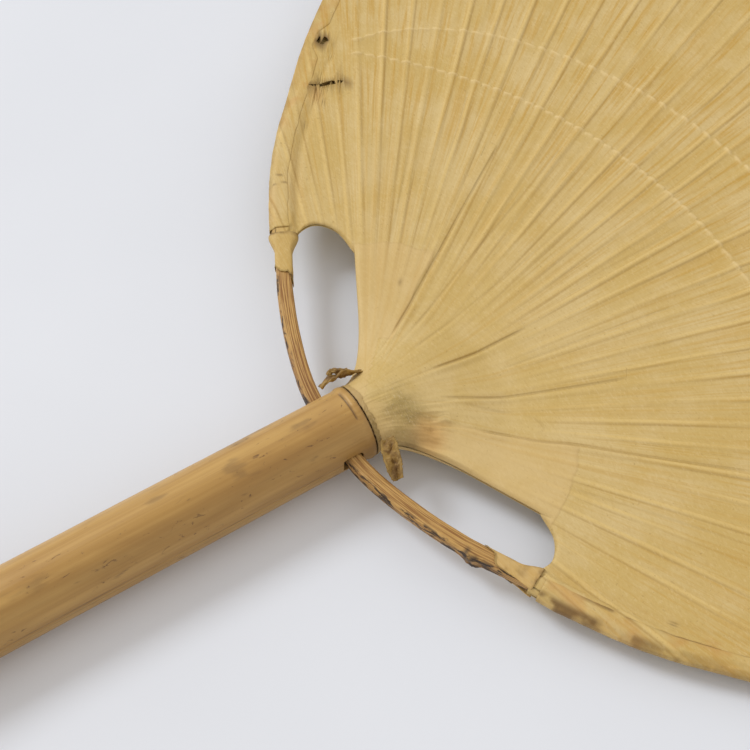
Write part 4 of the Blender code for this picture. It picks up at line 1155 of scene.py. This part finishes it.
def cut_slot(obj):
    """Cuts the hole that the bow passes through, with slightly broken edges."""
    inset = float(bow_inset(0.0))
    y_mid = OUTLINE[0][1] + inset + 0.3
    w, t = (BOW_W + 1.25) / 2, (BOW_T + 0.6) / 2
    n = 44
    xs = np.linspace(-20, 20, 9)
    ring = []
    for x in xs:
        a = np.arange(n) / n * 2 * np.pi
        sq = np.maximum(np.abs(np.cos(a)), np.abs(np.sin(a)))
        rr = (1 / sq) * (0.90 + 0.10 * np.abs(np.cos(2 * a)) ** 0.5)
        rag = 1.0 + 0.05 * fbm(3 * np.cos(a) + x, 3 * np.sin(a), 141, 3)
        flare = 1.0 + 0.10 * np.exp(-((abs(x) - 9.3) / 0.8) ** 2)
        ring.append(np.stack([x + 0 * a, y_mid + w * rr * np.cos(a) * rag * flare, t * rr * np.sin(a) * rag * flare], -1))
    ring = np.array(ring)
    verts = ring.reshape(-1, 3)
    quads = grid_quads(len(xs), n, close_cols=True)
    verts = np.concatenate([verts, [[-20, y_mid, 0], [20, y_mid, 0]]])
    i = np.arange(n)
    j = (i + 1) % n
    tris = np.concatenate([np.stack([np.full(n, len(verts) - 2), j, i], -1),
                           np.stack([np.full(n, len(verts) - 1), (len(xs) - 1) * n + i, (len(xs) - 1) * n + j], -1)])
    tool = make_mesh("slot_tool", verts, quads, tris)
    bm = bmesh.new()
    bm.from_mesh(tool.data)
    bmesh.ops.recalc_face_normals(bm, faces=bm.faces[:])
    bm.to_mesh(tool.data)
    bm.free()
    mod = obj.modifiers.new("slot", "BOOLEAN")
    mod.operation = "DIFFERENCE"
    mod.solver = "EXACT"
    mod.object = tool
    bpy.context.view_layer.update()
    deps = bpy.context.evaluated_depsgraph_get()
    me = bpy.data.meshes.new_from_object(obj.evaluated_get(deps))
    obj.modifiers.clear()
    old = obj.data
    obj.data = me
    bpy.data.meshes.remove(old)
    bpy.data.objects.remove(tool, do_unlink=True)
    me.polygons.foreach_set("use_smooth", np.ones(len(me.polygons), bool))
    me.set_sharp_from_angle(angle=math.radians(50))


# ================================================================================
# bow
# ================================================================================
def build_bow():
    left = BOW_RIGHT[1:][::-1] * np.array([-1.0, 1.0])
    line = np.vstack([left, BOW_RIGHT])
    line = spline(resample(line, 60), per=12)
    s = arc_length(line)
    half = s[-1] / 2
    # finer where the bow shows
    st = np.concatenate([np.linspace(-half, -64, 60, endpoint=False), np.linspace(-64, 64, 300, endpoint=False),
                         np.linspace(64, half, 60)])
    cx, cy = np.interp(st + half, s, line[:, 0]), np.interp(st + half, s, line[:, 1])
    tx, ty = np.gradient(cx), np.gradient(cy)
    k = np.hypot(tx, ty)
    tx, ty = tx / k, ty / k
    nx, ny = -ty, tx          # towards the blade
    scale = bow_scale(np.abs(st))
    # section: rounded rectangle with fibre grooves
    m = 72
    a = np.arange(m) / m * 2 * np.pi
    e = 0.42
    sw = np.sign(np.cos(a)) * np.abs(np.cos(a)) ** e
    sh = np.sign(np.sin(a)) * np.abs(np.sin(a)) ** e
    S, A = np.meshgrid(st, a, indexing="ij")
    SW = np.tile(sw, (len(st), 1)) * BOW_W / 2
    SH = np.tile(sh, (len(st), 1)) * BOW_T / 2
    # gentle bends and thickness changes of a hand-split strip
    wv = 1.0 + 0.035 * fbm(st / 16.0, 0 * st, 151, 3)
    hv = 1.0 - 0.03 + 0.03 * fbm(st / 13.0, 0 * st, 153, 3)
    SW = SW * (wv * scale)[:, None]
    SH = SH * (hv * scale)[:, None]
    rad = np.hypot(SW, SH)
    fib = fbm(SW * 2.6 + 7, SH * 2.6 + S / 40.0, 155, 3)
    dig = -0.055 * np.maximum(0, fib) - 0.03 * fbm(SW * 5.2, SH * 5.2 + S / 26.0, 157, 2)
    # outer skin: flakes and dark hollows
    outer = sstep((-SW - 1.0) / 0.8)
    dig = dig - 0.10 * outer * np.maximum(0, fbm(S / 3.0, SH * 0.9, 159, 3) - 0.15)
    # the strip's own node, right of the handle
    knob = np.exp(-((S - 45.6) / 2.3) ** 2)
    knob2 = np.exp(-((S - 47.6) / 0.9) ** 2)
    dig = dig + knob * (0.10 + 0.85 * outer * (1 + 0.5 * fbm(S / 1.3, SH / 1.3, 161, 3))) \
        - 0.25 * knob2 * outer
    SW2 = SW * (1 + dig / np.maximum(rad, 0.2))
    SH2 = SH * (1 + 0.6 * dig / np.maximum(rad, 0.2))
    X = cx[:, None] + nx[:, None] * SW2
    Y = cy[:, None] + ny[:, None] * SW2
    verts = np.stack([X, Y, SH2], -1)
    ends = []
    first = verts[:1].mean(axis=1)[0] - np.array([tx[0], ty[0], 0]) * 0.5
    last = verts[-1:].mean(axis=1)[0] + np.array([tx[-1], ty[-1], 0]) * 0.5
    quads = grid_quads(len(st), m, close_cols=True)
    flat = verts.reshape(-1, 3)
    n0 = len(flat)
    flat = np.concatenate([flat, [first, last]])
    i = np.arange(m)
    j = (i + 1) % m
    tris = np.concatenate([np.stack([np.full(m, n0), j, i], -1),
                           np.stack([np.full(m, n0 + 1), (len(st) - 1) * m + i, (len(st) - 1) * m + j], -1)])
    nrm = vertex_normals(flat, quads)
    probe = 200 * m
    if nrm[probe] @ np.array([nx[200], ny[200], 0]) < 0:
        quads, tris = quads[:, ::-1], tris[:, ::-1]
    obj = make_mesh("bamboo_bow", flat, quads, tris)
    strip = np.stack([SW, SH, S], -1).reshape(-1, 3)
    strip = np.concatenate([strip, [[0, 0, st[0]], [0, 0, st[-1]]]])
    put_vector(obj, "strip", strip)
    mark = 0.95 * np.exp(-((S - 46.6 - 0.5 * SW) / 1.2) ** 2) * outer * sstep(0.6 + fbm(S / 1.2, SH / 1.0, 163, 3)) \
        + 0.5 * np.exp(-((S - 48.8) / 1.6) ** 2) * outer
    mark = np.maximum(mark, 0.8 * np.exp(-((S - 43.6) / 0.7) ** 2) * sstep((-SW - 0.2) / 0.8))
    bark = outer * sstep((S + 200) / 10)
    hx, hy = np.interp(-S, arc_length(BOW_RIGHT), BOW_RIGHT[:, 0]), 0
    mark = np.maximum(mark, 0.92 * np.exp(-((hx - 110.5) / 4.5) ** 4) * (S < 0))
    zero = np.zeros_like(S)
    marks = np.concatenate([np.stack([mark, bark, zero], -1).reshape(-1, 3), [[0, 0, 0], [0, 0, 0]]])
    put_vector(obj, "marks", np.clip(marks, 0, 1))
    dress(obj, bow_material())
    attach(obj, "root")
    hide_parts("bow")
    return obj


# ================================================================================
# folded strip round the rim
# ================================================================================
def build_strip():
    """Paper strip folded over the outline: on each face it lies on the sheet."""
    th_l, th_r = -82.6, 82.6
    ang = []
    dense = np.concatenate([np.linspace(th_l, -58, 150, endpoint=False), np.linspace(-58, 58, 330, endpoint=False),
                            np.linspace(58, th_r, 150)])
    o, n = outline_at(dense)
    s = arc_length(o)
    # width of the strip on the front, along its length
    wf = 5.0 + 0.45 * fbm(s / 22.0, 0 * s, 171, 3) + 0.18 * fbm(s / 3.0, 0 * s, 173, 3)
    hc = np.mean(HOLE, axis=0)
    wf = wf - 2.5 * np.exp(-(np.hypot(o[:, 0] - n[:, 0] * 4.0 - hc[0], o[:, 1] - n[:, 1] * 4.0 - hc[1]) / 5.5) ** 4)
    wb = 5.0 + 0.45 * fbm(s / 24.0, 0 * s, 175, 3) + 0.18 * fbm(s / 3.4, 0 * s, 177, 3)
    fr = np.array([0.0, 0.02, 0.10, 0.22, 0.34, 0.46, 0.58, 0.70, 0.80, 0.88, 0.94])
    rows_f, rows_b = [], []

    def surface(e, w, front):
        pts = o - n * e[:, None]
        x, y = pts[:, 0], pts[:, 1]
        th, r = np.degrees(np.arctan2(x, y - CENTRE_Y)), np.hypot(x, y - CENTRE_Y)
        z = sheet_z(x, y, th, r, front, {"rim": e, "gap": np.full(len(e), 50.0)})
        return pts, z

    gap = 0.05
    T = 0.20
    secs = []
    for front, w in ((True, wf), (False, wb)):
        rows = []
        for f in fr:
            e = w * (1 - f) + 0.42 * f
            pts, z = surface(e, w, front)
            seed = 0 if front else 5
            lift = 0.05 + 0.12 * sstep((0.2 - f) / 0.2) * np.maximum(0, fbm(s / 7.0, 0 * s, 181 + seed, 3))
            crinkle = 0.06 * fbm(s / 2.4, f * 2.0 + 0 * s, 183 + seed, 3) * (1 - 0.4 * f)
            zz = z + (gap + T) * (0.35 + 0.65 * sstep(f / 0.10)) + lift * (0.3 + 0.7 * sstep(f / 0.2)) + np.abs(crinkle)
            rows.append(np.stack([pts[:, 0], pts[:, 1], zz * (1 if front else -1)], -1))
        secs.append(np.array(rows))
    # the fold itself, a round turn just outside the sheets
    zf, zb = secs[0][-1][:, 2], secs[1][-1][:, 2]
    turn = []
    wob = 0.10 * fbm(s / 4.0, 0 * s, 191, 3) + 0.05 * fbm(s / 1.3, 0 * s, 193, 2)
    for a in np.linspace(75, -75, 7):
        c, sn = math.cos(math.radians(a)), math.sin(math.radians(a))
        e = 0.42 - 0.42 * c - 0.04 + wob * c
        pts = o - n * e[:, None]
        z = (zf + zb) / 2 + (zf - zb) / 2 * sn
        turn.append(np.stack([pts[:, 0], pts[:, 1], z], -1))
    grid = np.concatenate([secs[0], np.array(turn), secs[1][::-1]])
    rows, cols = grid.shape[:2]
    V = grid.reshape(-1, 3)
    Q = grid_quads(rows, cols)
    nrm = vertex_normals(V, Q)
    if np.sum(nrm[:cols, 2]) < 0:
        Q = Q[:, ::-1]
    W, F = shell(V, Q, T)
    obj = make_mesh("edge_strip_paper", W, F)
    x, y = W[:, 0], W[:, 1]
    theta = np.degrees(np.arctan2(x, y - CENTRE_Y))
    r = np.hypot(x, y - CENTRE_Y)
    e, _, _ = to_polyline(np.abs(x), y, RIM_LINE)
    z0 = np.zeros(len(W))
    put_vector(obj, "fan", np.stack([theta, r, rib_index(theta)], -1))
    put_vector(obj, "marks", np.stack([z0 + 6, z0 + 6, z0 - 6], -1))
    put_vector(obj, "power", np.stack([z0, z0, e], -1))
    a = obj.data.attributes.new("pitch", "FLOAT", "POINT")
    a.data.foreach_set("value", rib_pitch(theta).astype(np.float32))
    dirt_and_shade = 0.42 * np.exp(-(e / 0.8) ** 2) * (0.6 + 0.6 * fbm(x / 3, y / 3, 195, 3))
    orange = 0.22 * sstep(0.3 + fbm(x / 9, y / 9, 197, 3)) * np.exp(-(e / 2.2) ** 2)
    # dark bark along the lower right edge, and painted shade where the fold stands open at the strip's inner edge
    low_r = sstep((x - 52.0) / 8.0) * sstep((118.0 - x) / 20.0) * sstep((62.0 - y) / 12.0)
    dirt_and_shade = np.maximum(dirt_and_shade, 0.85 * low_r * np.exp(-(np.maximum(e - 0.9, 0) / 0.8) ** 2) * sstep(0.55 + fbm(x / 3.5, y / 3.5, 199, 3)) * (1 - 0.6 * sstep((x - 72) / 16)))
    dirt_and_shade = np.maximum(dirt_and_shade, 0.70 * low_r * sstep((e - 4.25) / 0.5) * sstep((x - 62.0) / 6.0) * sstep(0.6 + fbm(x / 4, y / 4, 198, 2)))
    orange = np.maximum(orange, 0.45 * low_r * sstep(0.1 + fbm(x / 5, y / 5, 196, 3)))
    orange = np.maximum(orange, 0.38 * sstep((-84.0 - x) / 8.0) * sstep((75.0 - y) / 14.0) * sstep(fbm(x / 3, y / 3, 194, 3) + 0.1))
    crack = np.minimum(np.abs(x - 0.356 * (y - 19.6) + 71.9), np.abs(x - 0.405 * (y - 21.7) + 74.1)) + 0.06 * fbm(e, y, 192, 2)
    dirt_and_shade = np.maximum(dirt_and_shade, 0.60 * np.exp(-(crack / 0.17) ** 2) * sstep((e - 0.6) / 0.8) * (x < 0) * (W[:, 2] > 0))
    put_vector(obj, "stain_and_shade", np.clip(np.stack([dirt_and_shade, orange, z0], -1), 0, 1))
    dress(obj, MATS["paper_front"])
    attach(obj, "root")
    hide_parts("edge_strip")
    return obj


def bow_frame(at):
    """Points and directions of the bow's middle at distances from its centre."""
    line = resample(BOW_RIGHT, 400)
    s_ = arc_length(line)
    x, y = np.interp(at, s_, line[:, 0]), np.interp(at, s_, line[:, 1])
    g = np.gradient(line, axis=0)
    g /= np.linalg.norm(g, axis=1)[:, None]
    tx, ty = np.interp(at, s_, g[:, 0]), np.interp(at, s_, g[:, 1])
    return x, y, tx, ty


def build_sleeve(name, side):
    """End of the paper, wrapped on to the bow: wide where the sheets end, then tight, then torn off."""
    o, n = outline_at(np.array([END_ANGLE - 0.1]))
    foot = o[0] - n[0] * 3.45
    _, s0, _ = to_polyline(np.array([foot[0]]), np.array([foot[1]]), resample(BOW_RIGHT, 400))
    s0 = float(s0[0]) + 0.55
    # the section turns from the inner side over the top; on the right the outer side stays bare
    a = np.radians(np.linspace(-180, 180, 97)) if side < 0 else np.radians(np.linspace(-128, 128, 77))
    rows = 54
    f = np.linspace(0, 1, rows)[:, None]
    A = a[None, :]
    reach = (12.2 + 2.6 * np.cos(A) if side < 0 else 10.6 + 3.4 * np.cos(A) - 3.0 * sstep((np.abs(A) - 1.7) / 0.5)) \
        + 0.8 * fbm(2.0 * np.cos(A) + 3, 2.0 * np.sin(A), 311 + side, 4)
    S = s0 - reach * f
    wing = (1 - sstep((s0 - S) / 5.2))
    hw = 2.24 * (1 - wing) + 3.80 * wing
    hh = 2.02 * (1 - wing) + 2.38 * wing
    e = 0.46 * (1 - wing) + 0.72 * wing
    c, sn = np.cos(A), np.sin(A)
    W = np.sign(c) * np.abs(c) ** e * hw
    H = np.sign(sn) * np.abs(sn) ** e * hh
    wr = 0.05 * fbm(S / 2.2, 3 * np.cos(A) + 2 * np.sin(A), 315 + side, 3) + 0.10 * np.maximum(0, fbm(S / 4.5 + 2 * A, A * 1.5, 317 + side, 2)) * (0.3 + wing)
    wr = wr + 0.10 * sstep((f - 0.93) / 0.07) * (1 + fbm(A * 3, 0 * A, 319, 2))
    rad = np.hypot(W, H)
    W, H = W * (1 + wr / rad), H * (1 + wr / rad)
    x, y, tx, ty = bow_frame(S)
    X = (x - ty * W) * (1 if side > 0 else -1)
    Y = y + tx * W
    V = np.stack([X, Y, H], -1).reshape(-1, 3)
    closed = side < 0
    if closed:
        V = np.stack([X, Y, H], -1)[:, :-1].reshape(-1, 3)
        Q = grid_quads(rows, len(a) - 1, close_cols=True)
    else:
        Q = grid_quads(rows, len(a))
    nrm = vertex_normals(V, Q)
    cols = len(a) - 1 if closed else len(a)
    probe = 30 * cols + int(np.argmin(np.abs(a - math.pi / 2)))
    if nrm[probe][2] < 0:
        Q = Q[:, ::-1]
    Wv, F = shell(V, Q, 0.15)
    obj = make_mesh(name, Wv, F)
    x, y = Wv[:, 0], Wv[:, 1]
    fe = np.tile((f + 0 * A)[:, :cols].ravel(), 2)
    Sv = np.tile((S + 0 * A)[:, :cols].ravel(), 2)
    z0 = np.zeros(len(Wv))
    put_vector(obj, "fan", np.stack([np.degrees(np.arctan2(x, y - CENTRE_Y)), z0 + 60.0 + 0.4 * Sv, z0 + 1.0], -1))
    put_vector(obj, "marks", np.stack([z0 + 6, z0 + 6, z0 - 6], -1))
    put_vector(obj, "power", np.stack([z0, z0, z0 + 20], -1))
    at = obj.data.attributes.new("pitch", "FLOAT", "POINT")
    at.data.foreach_set("value", np.full(len(Wv), 1.7, np.float32))
    dirt_and_shade = 0.75 * sstep((0.10 - fe) / 0.10) * (0.6 + 0.5 * fbm(x, y, 321, 3))
    torn = 0.8 * sstep((fe - 0.93) / 0.07)
    if side < 0:
        dirt_and_shade = np.maximum(dirt_and_shade, 0.8 * np.exp(-(np.hypot((x + 43.6) / 1.4, (y - 10.6) / 0.8)) ** 2))
    else:
        dirt_and_shade = np.maximum(dirt_and_shade, 0.35 * sstep(fbm(x / 2.0, y / 2.0, 323, 3) + 0.2))
    put_vector(obj, "stain_and_shade", np.clip(np.stack([dirt_and_shade, z0 + (0.10 if side < 0 else 0.25), torn], -1), 0, 1))
    dress(obj, MATS["paper_front"])
    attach(obj, "root")
    return obj


# ================================================================================
# neck band and its loose ends
# ================================================================================
def build_collar():
    """Glued paper band round the root of the sheets, uneven and a little crushed."""
    n = 260
    phi = np.arange(n) / n * 2 * np.pi
    c, s = np.cos(phi), np.sin(phi)
    deg = (np.degrees(phi) + 180) % 360 - 180
    lower = HEAD_Y + 0.24 + 0.12 * fbm(9 * c, 9 * s, 201, 3)
    upper = HEAD_Y + 1.45 + 0.45 * fbm(5 * c + 3, 5 * s, 203, 3)
    rows = []
    for f in np.linspace(0, 1, 12):
        y = lower + (upper - lower) * f
        base = 8.98 + 0.05 * math.sin(math.pi * min(1, f * 1.4)) + 0.08 * (1 - f)
        r = base + 0.07 * fbm(10 * c + f, 10 * s + 2 * f, 205, 3) + 0.04 * fbm(24 * c, 24 * s + 5 * f, 207, 2)
        rows.append(np.stack([r * s, y, r * c], -1))
    grid = np.array(rows)
    V = grid.reshape(-1, 3)
    Q = grid_quads(12, n, close_cols=True)
    nrm = vertex_normals(V, Q)
    if nrm[6 * n] @ np.array([V[6 * n][0], 0, V[6 * n][2]]) < 0:
        Q = Q[:, ::-1]
    W, F = shell(V, Q, 0.18)
    obj = make_mesh("neck_band_paper", W, F)
    x, y = W[:, 0], W[:, 1]
    z0 = np.zeros(len(W))
    ph = np.degrees(np.arctan2(W[:, 0], W[:, 2]))
    put_vector(obj, "fan", np.stack([ph * 0.35, 18 + y, z0 + 1.0], -1))
    put_vector(obj, "marks", np.stack([z0 + 6, z0 + 6, z0 + 3], -1))
    put_vector(obj, "power", np.stack([z0, z0, z0 + 20], -1))
    a = obj.data.attributes.new("pitch", "FLOAT", "POINT")
    a.data.foreach_set("value", np.full(len(W), 1.7, np.float32))
    dirt_and_shade = np.maximum(0.8 * sstep((HEAD_Y + 0.62 - y) / 0.5), 0.30)
    glue = 0.8 * sstep((ph - 10) / 20) * sstep(0.6 + fbm(ph / 12, y / 2, 209, 3))
    put_vector(obj, "stain_and_shade", np.clip(np.stack([dirt_and_shade, z0 + 0.06, glue], -1), 0, 1))
    dress(obj, MATS["paper_front"])
    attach(obj, "root")
    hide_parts("neck_collar")
    return obj


def ribbon(name, path, across, width, thick, crumple, seed, node, light=0.0):
    """Curled scrap of paper: a thin closed ribbon along a path."""
    path = resample(spline(np.array(path, float), per=12), 46)
    across = resample(np.array(across, float), 46)
    across /= np.linalg.norm(across, axis=1)[:, None]
    m = 17
    v = np.linspace(-1, 1, m)
    tan = np.gradient(path, axis=0)
    tan /= np.linalg.norm(tan, axis=1)[:, None]
    nor = np.cross(tan, across)
    nor /= np.linalg.norm(nor, axis=1)[:, None]
    u = np.linspace(0, 1, 46)
    w = np.interp(u, np.linspace(0, 1, len(width)), width)
    w = w * (1 + 0.10 * fbm(u * 9, 0 * u, seed, 3))
    U, Vv = np.meshgrid(u, v, indexing="ij")
    bend = crumple * fbm(U * 5, Vv * 1.4 + 3, seed + 3, 4) + 0.35 * w[:, None] * (Vv ** 2 - 0.3) * 0.5
    P = path[:, None, :] + across[:, None, :] * (Vv * w[:, None] / 2)[..., None] + nor[:, None, :] * bend[..., None]
    Vt = P.reshape(-1, 3)
    Q = grid_quads(46, m)
    W, F = shell(Vt, Q, thick)
    obj = make_mesh(name, W, F)
    edge = np.tile(np.maximum(np.abs(Vv), np.abs(U * 2 - 1) ** 3).ravel(), 2)
    z0 = np.zeros(len(W))
    put_vector(obj, "marks", np.stack([light * sstep((edge - 0.5) / 0.5), z0, z0], -1))
    dress(obj, MATS["tab"])
    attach(obj, "root")
    if node:
        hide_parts(node)
    return obj


# ================================================================================
# camera, lights, floor
# ================================================================================
def build_stage():
    scene = bpy.context.scene
    scene.view_settings.view_transform = "Standard"
    # camera
    cam = bpy.data.cameras.new("camera")
    cam.sensor_width = 36.0
    cam.lens = 70.32
    cam.clip_start, cam.clip_end = 0.01, 20.0
    obj = bpy.data.objects.new("camera", cam)
    scene.collection.objects.link(obj)
    az, el, roll = (math.radians(a) for a in (58.45, 58.08, -0.12))
    right = Vector((math.cos(az), math.sin(az), 0.0))
    back = Vector((math.sin(az) * math.cos(el), -math.cos(az) * math.cos(el), math.sin(el)))
    up = back.cross(right)
    r1 = right * math.cos(roll) + up * math.sin(roll)
    u1 = -right * math.sin(roll) + up * math.cos(roll)
    rot = Matrix((r1, u1, back)).transposed()
    loc = Vector(world((150.97, -84.83, 300.92)))
    obj.matrix_world = Matrix.Translation(loc) @ rot.to_4x4()
    scene.camera = obj

    # floor: touches the handle's underside and nearly meets the right edge of the blade
    tilt = math.radians(2.6)
    size = 3.0
    me = bpy.data.meshes.new("floor")
    h = size / 2
    me.from_pydata([(-h, -h, 0), (h, -h, 0), (h, h, 0), (-h, h, 0)], [], [(0, 1, 2, 3)])
    floor = bpy.data.objects.new("floor", me)
    scene.collection.objects.link(floor)
    # plane through the line x=0, z=-9.4/cos about the handle's axis
    floor.matrix_world = Matrix.Translation(Vector(world((0, 40.5, 0)))) @ Matrix.Rotation(-tilt, 4, "Y") \
        @ Matrix.Translation(Vector((0, 0, -0.00945)))
    t = Tree("pale_board")
    co = t.add("TexCoord", out=3)
    soft = t.noise(co, 9.0, 3.0, 0.5)
    fine = t.noise(co, 900.0, 2.0, 0.5)
    col = t.mix(t.range(soft, 0.3, 0.7), (0.735, 0.760, 0.822), (0.760, 0.785, 0.847))
    t.finish(col, 0.6, t.bump(fine, 0.00003, 0.4), Specular_IOR_Level=0.25)
    dress(floor, t.mat)

    # soft studio light
    def area(name, direction, dist, size, power, colour, target=(0, 30, 0)):
        li = bpy.data.lights.new(name, "AREA")
        li.shape = "DISK"
        li.size = size
        li.energy = power
        li.color = colour
        ob = bpy.data.objects.new(name, li)
        scene.collection.objects.link(ob)
        d = Vector(direction).normalized()
        tgt = Vector(world(target))
        ob.location = tgt + d * dist
        ob.rotation_mode = "QUATERNION"
        ob.rotation_quaternion = d.to_track_quat("Z", "Y")
        return ob

    area("key", (-0.68, -0.34, 0.66), 4.0, 1.35, KEY_POWER, (0.90, 0.95, 1.0))
    w = bpy.data.worlds.new("studio")
    scene.world = w
    w.use_nodes = True
    bg = w.node_tree.nodes["Background"]
    bg.inputs[0].default_value = (1.0, 0.955, 0.895, 1.0)
    bg.inputs[1].default_value = SKY_POWER


KEY_POWER = 70.0
SKY_POWER = 0.76

# ================================================================================
# assembly
# ================================================================================
build_stage()

MATS = {"paper_front": paper_material("oiled_paper_front"), "paper_back": paper_material("oiled_paper_back"),
        "tab": tab_material()}

front = finish_sheet("front_paper", True, "paper_front")
back = finish_sheet("back_paper", False, "paper_back")
build_handle()
build_bow()
strip = build_strip()
sleeve_l = build_sleeve("paper_end_left", -1)
sleeve_r = build_sleeve("paper_end_right", 1)
build_collar()
ribbon("neck_end_left", [(-8.6, 9.8, 4.6), (-9.2, 7.2, 5.2), (-9.8, 4.8, 5.6), (-10.0, 2.6, 5.5), (-10.3, 0.6, 5.1), (-10.0, -1.2, 4.7)],
       [(0.5, 0.0, 0.9), (0.7, 0.1, 0.6), (0.3, 0.0, 1.0), (0.7, 0.2, 0.7), (0.4, 0.0, 0.9), (0.6, 0.2, 0.8)],
       [1.8, 3.6, 4.4, 4.0, 3.2, 1.0], 0.42, 0.5, 211, "neck_tab_left")
ribbon("neck_end_left_curl", [(-9.6, 5.6, 5.2), (-11.2, 4.6, 6.2), (-12.6, 3.4, 5.4), (-12.4, 2.4, 4.4)],
       [(0.3, 1.0, 0.1), (0.2, 1.0, 0.2), (0.4, 0.9, 0.3), (0.3, 1.0, 0.1)], [3.0, 3.4, 2.6, 1.2], 0.35, 0.4, 215, None, 0.25)
ribbon("neck_end_right", [(9.9, 5.2, 3.8), (12.2, 4.4, 4.2), (14.8, 3.4, 3.8), (17.2, 2.8, 2.8), (19.2, 2.2, 1.9)],
       [(0.1, 1.0, 0.2), (0.0, 1.0, 0.4), (0.2, 1.0, 0.0), (0.1, 1.0, 0.3), (0.2, 0.9, 0.2)],
       [3.6, 4.4, 4.4, 3.8, 2.2], 0.45, 0.5, 221, "neck_tab_right", 0.35)

ribs, threads = rib_material(), thread_material()
for node_name, node_obj in frame["nodes"].items():
    if node_name.startswith("rib_"):
        dress(node_obj, ribs)
    elif node_name.startswith("thread_"):
        dress(node_obj, threads)
